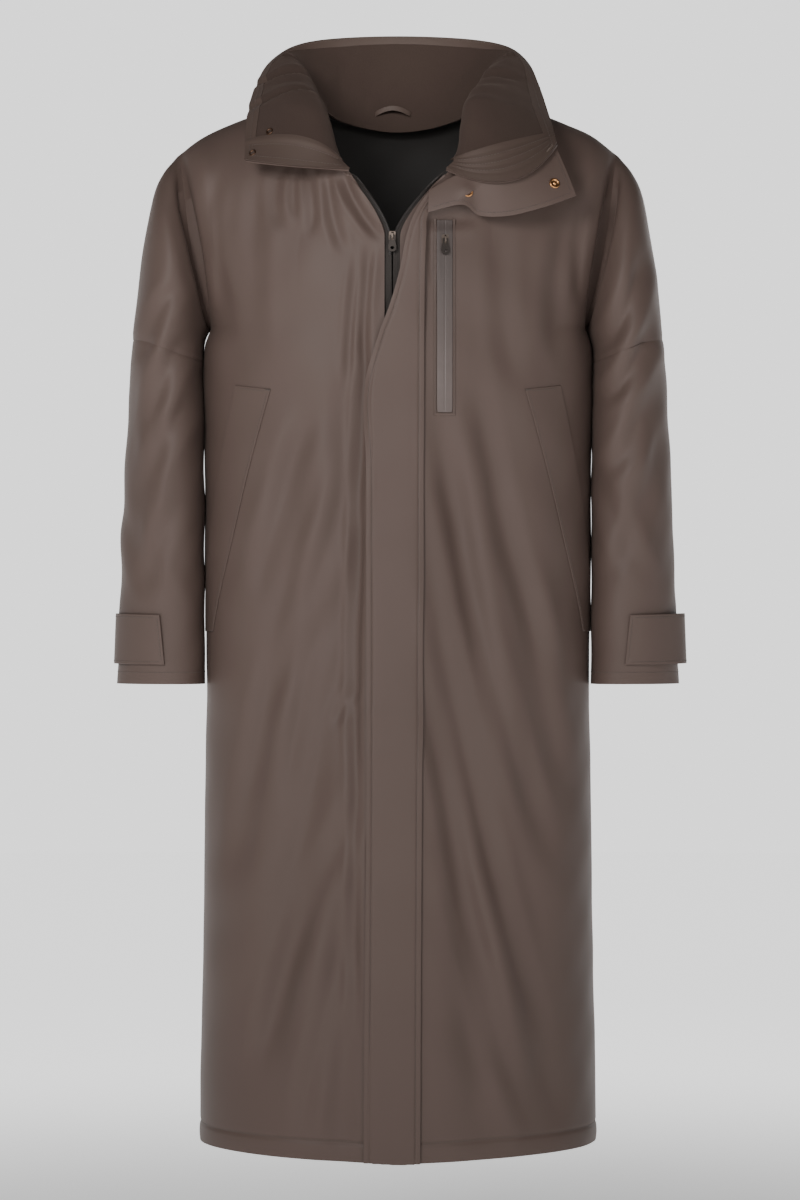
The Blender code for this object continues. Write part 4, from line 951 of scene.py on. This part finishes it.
def addCuffTab(word, side):
    front, back, standOff = cuffTabs["ends"][side]
    i, k = crossed(spread(0, 1, cuffTabs["columns"]), spread(0, 1, cuffTabs["rows"]))
    z = cuffTabs["top"] + (cuffTabs["foot"] - cuffTabs["top"]) * k
    degrees = back + (front - cuffTabs["slant"] * (1 - k) - back) * i
    heights = -np.array(arm["rings"])[:, 1]
    place, angle = np.interp(-z, heights, range(len(heights))), np.radians(degrees)
    points = armPoint(side, angle, place)
    ahead = armPoint(side, angle + 0.02, place) - points
    below = armPoint(side, angle, place + 0.02) - points
    normals = unit(np.cross(ahead, below) * side)
    first, rise, last, fall = cuffTabs["bulge"]
    gap = cuffTabs["gap"] + standOff * ease((degrees - first) / rise) * ease((last - degrees) / fall)
    cloth = Cloth().add(points + normals * (gap + cuffTabs["wall"])[..., None], (0.0, 0.0, 0.0),
                        armInside(side))
    name = "cuff_tab_" + word
    made = shellObject(name + "_cloth", cloth, 0.0, -cuffTabs["wall"], cloths["shell"], [name],
                       soften=0.0006)
    cloth.area()
    clothOf["tab_" + word] = cloth


for word, side in sides.items():
    addWelt(word, side)
    addCuffTab(word, side)
print("pockets and cuff tabs made")

zipTape = {
    "under": 0.006, "over": 0.0082, "gap": 0.0014, "top": 1.93, "rows": (60, 90), "columns": 8,
    "teethFrom": 1.30, "teethIn": 0.0066, "teethUp": 0.0004,
}
zipRows = {}


def addZipTape(word, side):
    below, above = zipTape["rows"]
    up = np.concatenate((spread(0, 1, below)[:-1], spread(1, zipTape["top"], above)))
    edge, inside = panelPoint(side, -1, 0.0, up), panelPoint(side, -1, 0.03, up)
    ahead = panelPoint(side, -1, 0.0, up + 0.02) - panelPoint(side, -1, 0.0, up - 0.02)
    normal = unit(np.cross(inside - edge, ahead))
    normal = np.where(normal[:, 1:2] > 0, -normal, normal)
    into = inside - edge
    into = unit(into - normal * (into * normal).sum(-1, keepdims=True))
    share = spread(zipTape["under"], -zipTape["over"], zipTape["columns"])
    points = edge[:, None] + into[:, None] * share[None, :, None]
    normals = np.broadcast_to(normal[:, None], points.shape)
    depth = -(wall["shell"] + zipTape["gap"] + wall["tape"])
    name, gap = "zip_tape_" + word, np.full(points.shape[:2], depth)
    made, cloth = stripObject(name + "_cloth", points, normals, gap, wall["tape"], cloths["zipTape"],
                              [name],
                              wall["tapeSoft"])
    "front_" + word + "_cloth"
    cloth.area()
    shown = up > zipTape["teethFrom"]
    path = edge - into * zipTape["teethIn"] + normal * (depth + wall["tape"] + zipTape["teethUp"])
    zipRows[word] = (path[shown], normal[shown])


chestZip = {
    "x": 0.0540, "width": 0.0180, "topZ": -0.150, "footZ": -0.372, "gap": 0.0006, "columns": 40, "rows": 90,
    "even": (12, 6), "taper": (0.985, 0.015, 0.12), "crown": 0.0004, "slit": 0.07, "edgeGap": 0.0002,
    "edgeWall": 0.0008,
    "edges": {  # x from and to, z from and to, rows, columns
        "inner": (-0.0125, -0.0094, -0.148, -0.3760, 79, 6),
        "outer": (0.0094, 0.0125, -0.148, -0.3760, 79, 6),
        "foot": (-0.0125, 0.0125, -0.3728, -0.3762, 5, 29)},
}


def addChestZip():
    share = spread(-1, 1, chestZip["columns"])
    drop = spread(0, 1, chestZip["rows"])
    z = chestZip["topZ"] + (chestZip["footZ"] - chestZip["topZ"]) * drop[:, None] + 0 * share
    start, run, much = chestZip["taper"]
    narrow = 1 - much * np.maximum(0, drop[:, None] - start) / run
    x = chestZip["x"] + chestZip["width"] / 2 * share * narrow
    points, normals = frontView.lay(x, z, chestZip["even"])
    crown = chestZip["gap"] + chestZip["crown"] * (1 - share**2 - bell(share / chestZip["slit"]))
    made, cloth = stripObject("chest_zip_tape_cloth", points, normals, crown + 0 * z, wall["tape"],
                              cloths["chestTape"], ["chest_zip_tape"], wall["tapeSoft"])
    for name, (low, high, top, foot, rows, columns) in chestZip["edges"].items():
        a, b = crossed(spread(top, foot, rows), spread(low, high, columns))
        spots, out = frontView.lay(chestZip["x"] + b, a, chestZip["even"])
        gap = np.full(a.shape, chestZip["edgeGap"])
        edge, _ = stripObject("chest_zip_" + name + "_edge", spots, out, gap, chestZip["edgeWall"],
                              cloths["shell"], [], 0.0004)
    cloth.area()


hangerLoop = {"x": -0.006, "half": 0.021, "out": 0.009, "rise": 0.007, "band": 0.006, "place": 0.315,
              "up": 0.06, "columns": 40, "rows": 6}


def addHangerLoop():
    share = spread(0, 1, hangerLoop["columns"])
    x = hangerLoop["x"] + hangerLoop["half"] * (2 * share - 1)
    bow = np.sin(np.pi * share)
    seat = collarPoint(x / hangerLoop["place"], hangerLoop["up"])
    front = -(wall["lining"] + 3.2 * wall["seam"] + hangerLoop["out"] * bow**0.7)
    middle = np.stack((x, seat[:, 1] + front, seat[:, 2] + hangerLoop["rise"] * bow), -1)
    heights = spread(-0.5, 0.5, hangerLoop["rows"]) * hangerLoop["band"]
    points = middle[:, None] + heights[None, :, None] * np.array((0, 0, 1))
    slope = np.cos(np.pi * share) * hangerLoop["out"] / hangerLoop["half"] * np.pi / 2
    normals = np.broadcast_to(unit(np.stack((-slope, -1 + 0 * x, 0 * x), -1))[:, None], points.shape)
    # the loop wears the facing's darker finish, painted shade on the shell's cloth
    made, cloth = stripObject("hanger_loop_cloth", points, normals, np.zeros(points.shape[:2]),
                              wall["tape"],
                              cloths["facing"], ["hanger_loop"], wall["tapeSoft"])
    max(cloth.area(), 0.0002)


for word, side in sides.items():
    addZipTape(word, side)
addChestZip()
addHangerLoop()
print("tapes made")


class Sewing:  # short thread pieces, or zip teeth, along paths, kept in one mesh
    def __init__(self):
        self.points, self.faces, self.size = [], [], 0

    def run(self, path, normals, pitch=0.0036, length=0.0027, thick=0.00038, across=False, sink=0.35):
        far = farAlong(path)
        middle = np.arange(pitch * 0.6, far[-1] - pitch * 0.5, pitch)
        centre, normal = pick(middle, far, path), unit(pick(middle, far, normals))
        ahead = unit(pick(middle + pitch / 3, far, path) - pick(middle - pitch / 3, far, path))
        aside = np.cross(normal, ahead)
        if across:
            ahead, aside = aside, ahead
        rings = []
        for shift, rise, grow in ((-0.5, -0.9, 0.45), (-0.3, sink, 1), (0.3, sink, 1), (0.5, -0.9, 0.45)):
            core = centre + ahead * shift * length + normal * rise * thick
            for k in range(6):
                turn = k * math.pi / 3
                rings.append(core + (aside * math.cos(turn) + normal * math.sin(turn)) * thick * grow)
        quads = []
        for r in range(0, 18, 6):
            quads += [(r + k, r + (k + 1) % 6, r + (k + 1) % 6 + 6, r + k + 6) for k in range(6)]
        quads += [(0, 3, 2, 1), (0, 5, 4, 3), (18, 19, 20, 21), (18, 21, 22, 23)]
        first = self.size + np.arange(len(middle))[:, None, None] * 24
        self.points.append(np.stack(rings, 1).reshape(-1, 3))
        self.faces.append((first + np.array(quads)).reshape(-1, 4))
        self.size += len(middle) * 24

    def finish(self, name, material, slot, rideOn="robe"):
        made = meshObject(name, np.vstack(self.points), np.vstack(self.faces), material)
        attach(made, rideOn)


def edgePath(cloth, shape, edge, inset, trim=0.0):  # a line a little inside one edge of a grid
    grid, normals = cloth.points.reshape(*shape, 3), cloth.normals().reshape(*shape, 3)
    if edge in ("top", "foot"):
        grid, normals = grid.swapaxes(0, 1), normals.swapaxes(0, 1)
    if edge in ("right", "foot"):
        grid, normals = grid[:, ::-1], normals[:, ::-1]
    path, out = [], []
    for row, normal in zip(grid, normals):
        path.append(pick(inset, farAlong(row), row))
        out.append(pick(inset, farAlong(row), normal))
    path, out = np.array(path), np.array(out)
    far = farAlong(path)
    keep = (far >= trim) & (far <= far[-1] - trim)
    return path[keep], out[keep]


def ringPath(names, starts, ends):  # where rays from starts towards ends meet the named cloths
    tree = searchable([(clothOf[name].points, clothOf[name].faces) for name in names])
    path, out = [], []
    for start, end in zip(starts, ends):
        hit, normal, _, _ = tree.ray_cast(Vector(start), (Vector(end) - Vector(start)).normalized())
        if hit is not None:
            away = np.array(start) - np.array(end)
            path.append(hit)
            out.append(np.array(normal) * (1 if np.dot(normal, away) > 0 else -1))
    return np.array(path), np.array(out)


sewn = {
    "cuffUp": 0.014, "tabInset": 0.0035, "weltInset": 0.0030, "flapInset": 0.0050, "trim": 0.004,
    "around": 500,
    "placketTrim": 0.12, "flapTrim": 0.006, "hemFrom": 0.6, "cuffFrom": 0.2, "collarUp": 0.0009,
    "underPlacket": (-0.038, 0.026),  # x from and to, where the placket hides the hem's row
    # bars at the pocket ends
    "tackInset": 0.0012, "tackWidth": 0.009, "tack": (0.0007, 0.0022, 0.0003, True),
    "chestX": (-0.0110, 0.0110), "chestZ": (-0.150, -0.376), "chestRise": 0.0010, "chest": (0.0034, 0.0026),
    "collar": (  # place round the neck from and to, share of the height from and to
        (-0.985, 0.985, 0.955, 0.955), (-0.985, -0.985, 0.05, 0.95), (-0.950, -0.950, 0.05, 0.95),
        (0.9435, 0.9435, 0.05, 0.95), (0.9585, 0.9585, 0.05, 0.95), (0.9735, 0.9735, 0.05, 0.95)),
    "teeth": (0.0016, 0.0034, 0.00062, True), "stop": (0.0018, 0.0030, 0.0006, True),
    "stopLine": (0.986, 0.986, 0.88, 0.96),
}


def sewPlacket(rows):
    shape = (placket["rows"] + 1, sum(placket["columns"]) + 1)
    for edge, trim in (("right", sewn["trim"]), ("left", sewn["placketTrim"])):
        rows.run(*edgePath(clothOf["placket"], shape, edge, placket["topstitch"], trim))


def sewHem(rows):
    turn = np.linspace(-np.pi, np.pi, sewn["around"])
    z = body["hemZ"] + body["hemRise"] * np.abs(np.sin(turn)) ** 0.8 + panels["hemUp"]
    ring = np.stack((np.sin(turn), -np.cos(turn), 0 * turn), -1)
    height = np.stack((0 * z, 0 * z, z), -1)
    path, out = ringPath(("front_right", "front_left", "back"), ring * sewn["hemFrom"] + height, height)
    low, high = sewn["underPlacket"]
    hidden = (path[:, 1] < 0) & (path[:, 0] > low) & (path[:, 0] < high)
    for part in np.split(np.arange(len(path)), np.flatnonzero(np.diff(hidden.astype(int))) + 1):
        if not hidden[part[0]] and len(part) > 3:
            rows.run(path[part], out[part])


def sewSide(rows, word, side):
    turn, last = np.linspace(-np.pi, np.pi, sewn["around"])[::3], len(arm["rings"]) - 1
    centre = (armPoint(side, 0.0, last) + armPoint(side, np.pi, last)) / 2
    centre = centre + np.array((0, 0, sewn["cuffUp"]))
    spin = np.stack((np.cos(turn), np.sin(turn), 0 * turn), -1)
    rows.run(*ringPath(("sleeve_" + word,), centre + spin * sewn["cuffFrom"], centre + 0 * spin))
    shape = (cuffTabs["columns"] + 1, cuffTabs["rows"] + 1)
    for edge in ("left", "right", "top", "foot"):
        rows.run(*edgePath(clothOf["tab_" + word], shape, edge, sewn["tabInset"], sewn["tabInset"]))
    shape = (welts["rows"] + 1, welts["columns"] + 1)
    for edge in ("left", "top"):
        rows.run(*edgePath(clothOf["welt_" + word], shape, edge, sewn["weltInset"], sewn["trim"]))
    for edge in ("top", "foot"):
        path, out = edgePath(clothOf["welt_" + word], shape, edge, sewn["tackInset"])
        near = np.linalg.norm(path - path[0], axis=1) < sewn["tackWidth"]
        rows.run(path[near], out[near], *sewn["tack"])


def sewFlapAndChest(rows):
    shape = (flap["columns"] + 1, flap["rows"] + 1)
    for edge, trim in (("right", sewn["trim"]), ("foot", sewn["flapTrim"])):
        rows.run(*edgePath(clothOf["flap"], shape, edge, sewn["flapInset"], trim))
    for x in sewn["chestX"]:
        z = np.linspace(*sewn["chestZ"], 90)
        path, out = frontView.lay(0 * z + chestZip["x"] + x, z, chestZip["even"][:1])
        rows.run(path + out * sewn["chestRise"], out, *sewn["chest"])


def collarRow(line, count):  # a row on the collar's facing
    first, last, low, high = line
    place, up = np.linspace(first, last, count), np.linspace(low, high, count)
    out = collarNormal(place, up)
    return collarForm(place, up) + out * (wall["seam"] + wall["lining"] + sewn["collarUp"]), out


def addStitching():
    rows, teeth, stop = Sewing(), Sewing(), Sewing()
    sewPlacket(rows)
    sewHem(rows)
    for word, side in sides.items():
        sewSide(rows, word, side)
    sewFlapAndChest(rows)
    for line in sewn["collar"]:
        rows.run(*collarRow(line, 260))
    rows.finish("stitching", cloths["thread"], "shell")
    for path, out in zipRows.values():
        teeth.run(path, out, *sewn["teeth"])
    teeth.finish("zip_teeth", cloths["coil"], "zip_tape")
    stop.run(*collarRow(sewn["stopLine"], 40), *sewn["stop"])
    stop.finish("zip_stop", cloths["zipMetal"], "zip_metal")


addStitching()
print("stitching made")

studs = {
    "segments": 44,
    "cap": mm((  # radius, height from the seat
        (6.4, 0), (6.4, 1), (6, 1.7), (5.2, 2), (4.4, 1.8), (3.8, 1.1), (2.4, 1), (1.7, 1.3), (1.2, 1.9),
        (0.4, 2.1), (0, 2.1))),
    "socket": mm((
        (4.6, 0), (4.6, 0.7), (4.2, 1.2), (3.5, 1.3), (2.9, 0.9), (2.6, 0.2), (1.2, 0.1), (0, 0.1))),
    "nodes": {
        "snap_flap_end": ("cap", "copper"), "snap_flap_fold": ("cap", "copper"),
        "snap_collar": ("socket", "darkCopper"), "snap_collar_corner": ("socket", "darkCopper")},
}


def addStud(node, profile, finish):
    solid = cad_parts[node]
    points = np.array([solid.matrix_world @ v.co for v in solid.data.vertices])
    middle = points.mean(0)
    axis = np.linalg.svd(points - middle)[2][2]
    axis = -axis if axis[1] > 0 else axis
    foot = middle + axis * ((points - middle) @ axis).min()
    side = unit(np.cross(axis, (0.0, 0.0, 1.0)))
    up = np.cross(side, axis)
    turn = np.arange(studs["segments"]) * 2 * np.pi / studs["segments"]
    ring = np.cos(turn)[:, None] * side + np.sin(turn)[:, None] * up
    rows = [foot + ring * radius + axis * height for radius, height in studs[profile][:-1]]
    points = np.vstack(rows + [foot + axis * studs[profile][-1][1], foot])
    count, last = studs["segments"], len(points) - 2
    i = np.arange(count)
    j = (i + 1) % count
    faces = []
    for k in range(len(rows) - 1):
        low, high = k * count, k * count + count
        faces += np.stack((i + low, i + high, j + high, j + low), -1).tolist()
    top = (len(rows) - 1) * count
    faces += [[top + a, last, top + b] for a, b in zip(i.tolist(), j.tolist())]
    faces += [[b, last + 1, a] for a, b in zip(i.tolist(), j.tolist())]
    made = meshObject(node + "_stud", points, faces, cloths[finish], 60)
    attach(made, "robe")
    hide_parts(node)


for node, (profile, finish) in studs["nodes"].items():
    addStud(node, profile, finish)
for zipper in ("front", "chest"):
    for piece, finish in (("slider", "zipMetal"), ("pull", "zipPull")):
        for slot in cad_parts[zipper + "_zip_" + piece].material_slots:
            slot.material = cloths[finish]
print("fittings finished")

studio = {
    "floorZ": -1.42, "floorReach": 9.0, "floorSides": 96, "glow": (0.5, 2.6, 0.30, 0.92), "bright": 1.6,
    "spotAngle": 8.5, "spotRadius": 0.12, "lens": 127.8, "eye": (0.0024, -5.07, -0.589),
    "lamps": {  # place, target, size of a soft box or none for a spot, power
        "key": ((-0.9, -2.3, 0.42), (0, 0, -0.42), (0.7, 0.7), 40),
        "back": ((1.3, 3.0, 0.5), (0, 0, -0.5), (1.2, 1.2), 7),
        "fill": ((1.5, -2.6, -0.1), (0, 0, -0.4), (1.2, 1.2), 8),
        "collar": ((0.1, -2.2, 0.62), (0, 0.07, 0.055), None, 165)},
    "walls": {  # fall of the light up and down, to the sides, and towards the front
        "Z": ("ABSOLUTE", 0.16, 0.24, 1.6, 0.08), "X": ("ABSOLUTE", 0.45, 0.90, 1.0, 0.30),
        "Y": ("MINIMUM", -0.85, 0.10, 0.45, 1.0)},
}


def addStage():
    turn = spread(0, 2 * np.pi, studio["floorSides"])[:-1]
    ring = np.stack((np.cos(turn), np.sin(turn), 0 * turn), -1) * studio["floorReach"]
    paint = Finish("floor").give({"Base Color": (0.8, 0.8, 0.8, 1), "Roughness": 0.9,
                                  "Emission Strength": studio["bright"]})
    place = paint.ownPlace()
    # painted light: the floor glows, dim near the robe and brighter further off
    away = paint.node("ShaderNodeVectorMath", {"operation": "LENGTH"}, {0: place}, 1)
    glow = paint.eased(away, studio["glow"])
    paint.give({"Emission Color": paint.blend(glow, (0, 0, 0, 1), (1, 1, 1, 1))})
    floor = meshObject("floor", ring, [list(range(studio["floorSides"]))], paint.material)
    floor.location = (0, 0, studio["floorZ"])
    room = Backdrop("studio")
    way, strength = room.node("ShaderNodeTexCoord", output="Generated"), 1
    for axis, (rule, *ends) in studio["walls"].items():
        level = room.node("ShaderNodeSeparateXYZ", None, {0: way}, axis)
        level = room.node("ShaderNodeMath", {"operation": rule}, {0: level})
        strength = room.eased(level, ends) * strength
    room.give({"Color": (1, 1, 1, 1), "Strength": strength})
    bpy.context.scene.world = room.world


def addLight(name, place, target, size, power):
    lamp = bpy.data.lights.new(name, "AREA" if size else "SPOT")
    lamp.energy = power
    if size:
        lamp.shape, lamp.size, lamp.size_y = "RECTANGLE", size[0], size[1]
    else:
        lamp.spot_size, lamp.spot_blend = math.radians(studio["spotAngle"]), 1.0
        lamp.shadow_soft_size = studio["spotRadius"]
    made = bpy.data.objects.new(name, lamp)
    made.location = place
    made.rotation_mode = "QUATERNION"
    made.rotation_quaternion = (Vector(target) - Vector(place)).to_track_quat("-Z", "Y")
    bpy.context.scene.collection.objects.link(made)


addStage()
for name, row in studio["lamps"].items():
    addLight(name, *row)
lens = bpy.data.cameras.new("camera")
lens.lens, lens.sensor_width, lens.clip_end = studio["lens"], 36, 200
camera = bpy.data.objects.new("camera", lens)
camera.location = studio["eye"]
camera.rotation_euler = (math.pi / 2, 0, 0)
bpy.context.scene.collection.objects.link(camera)
bpy.context.scene.camera = camera
print("studio made")

bpy.context.view_layer.update()
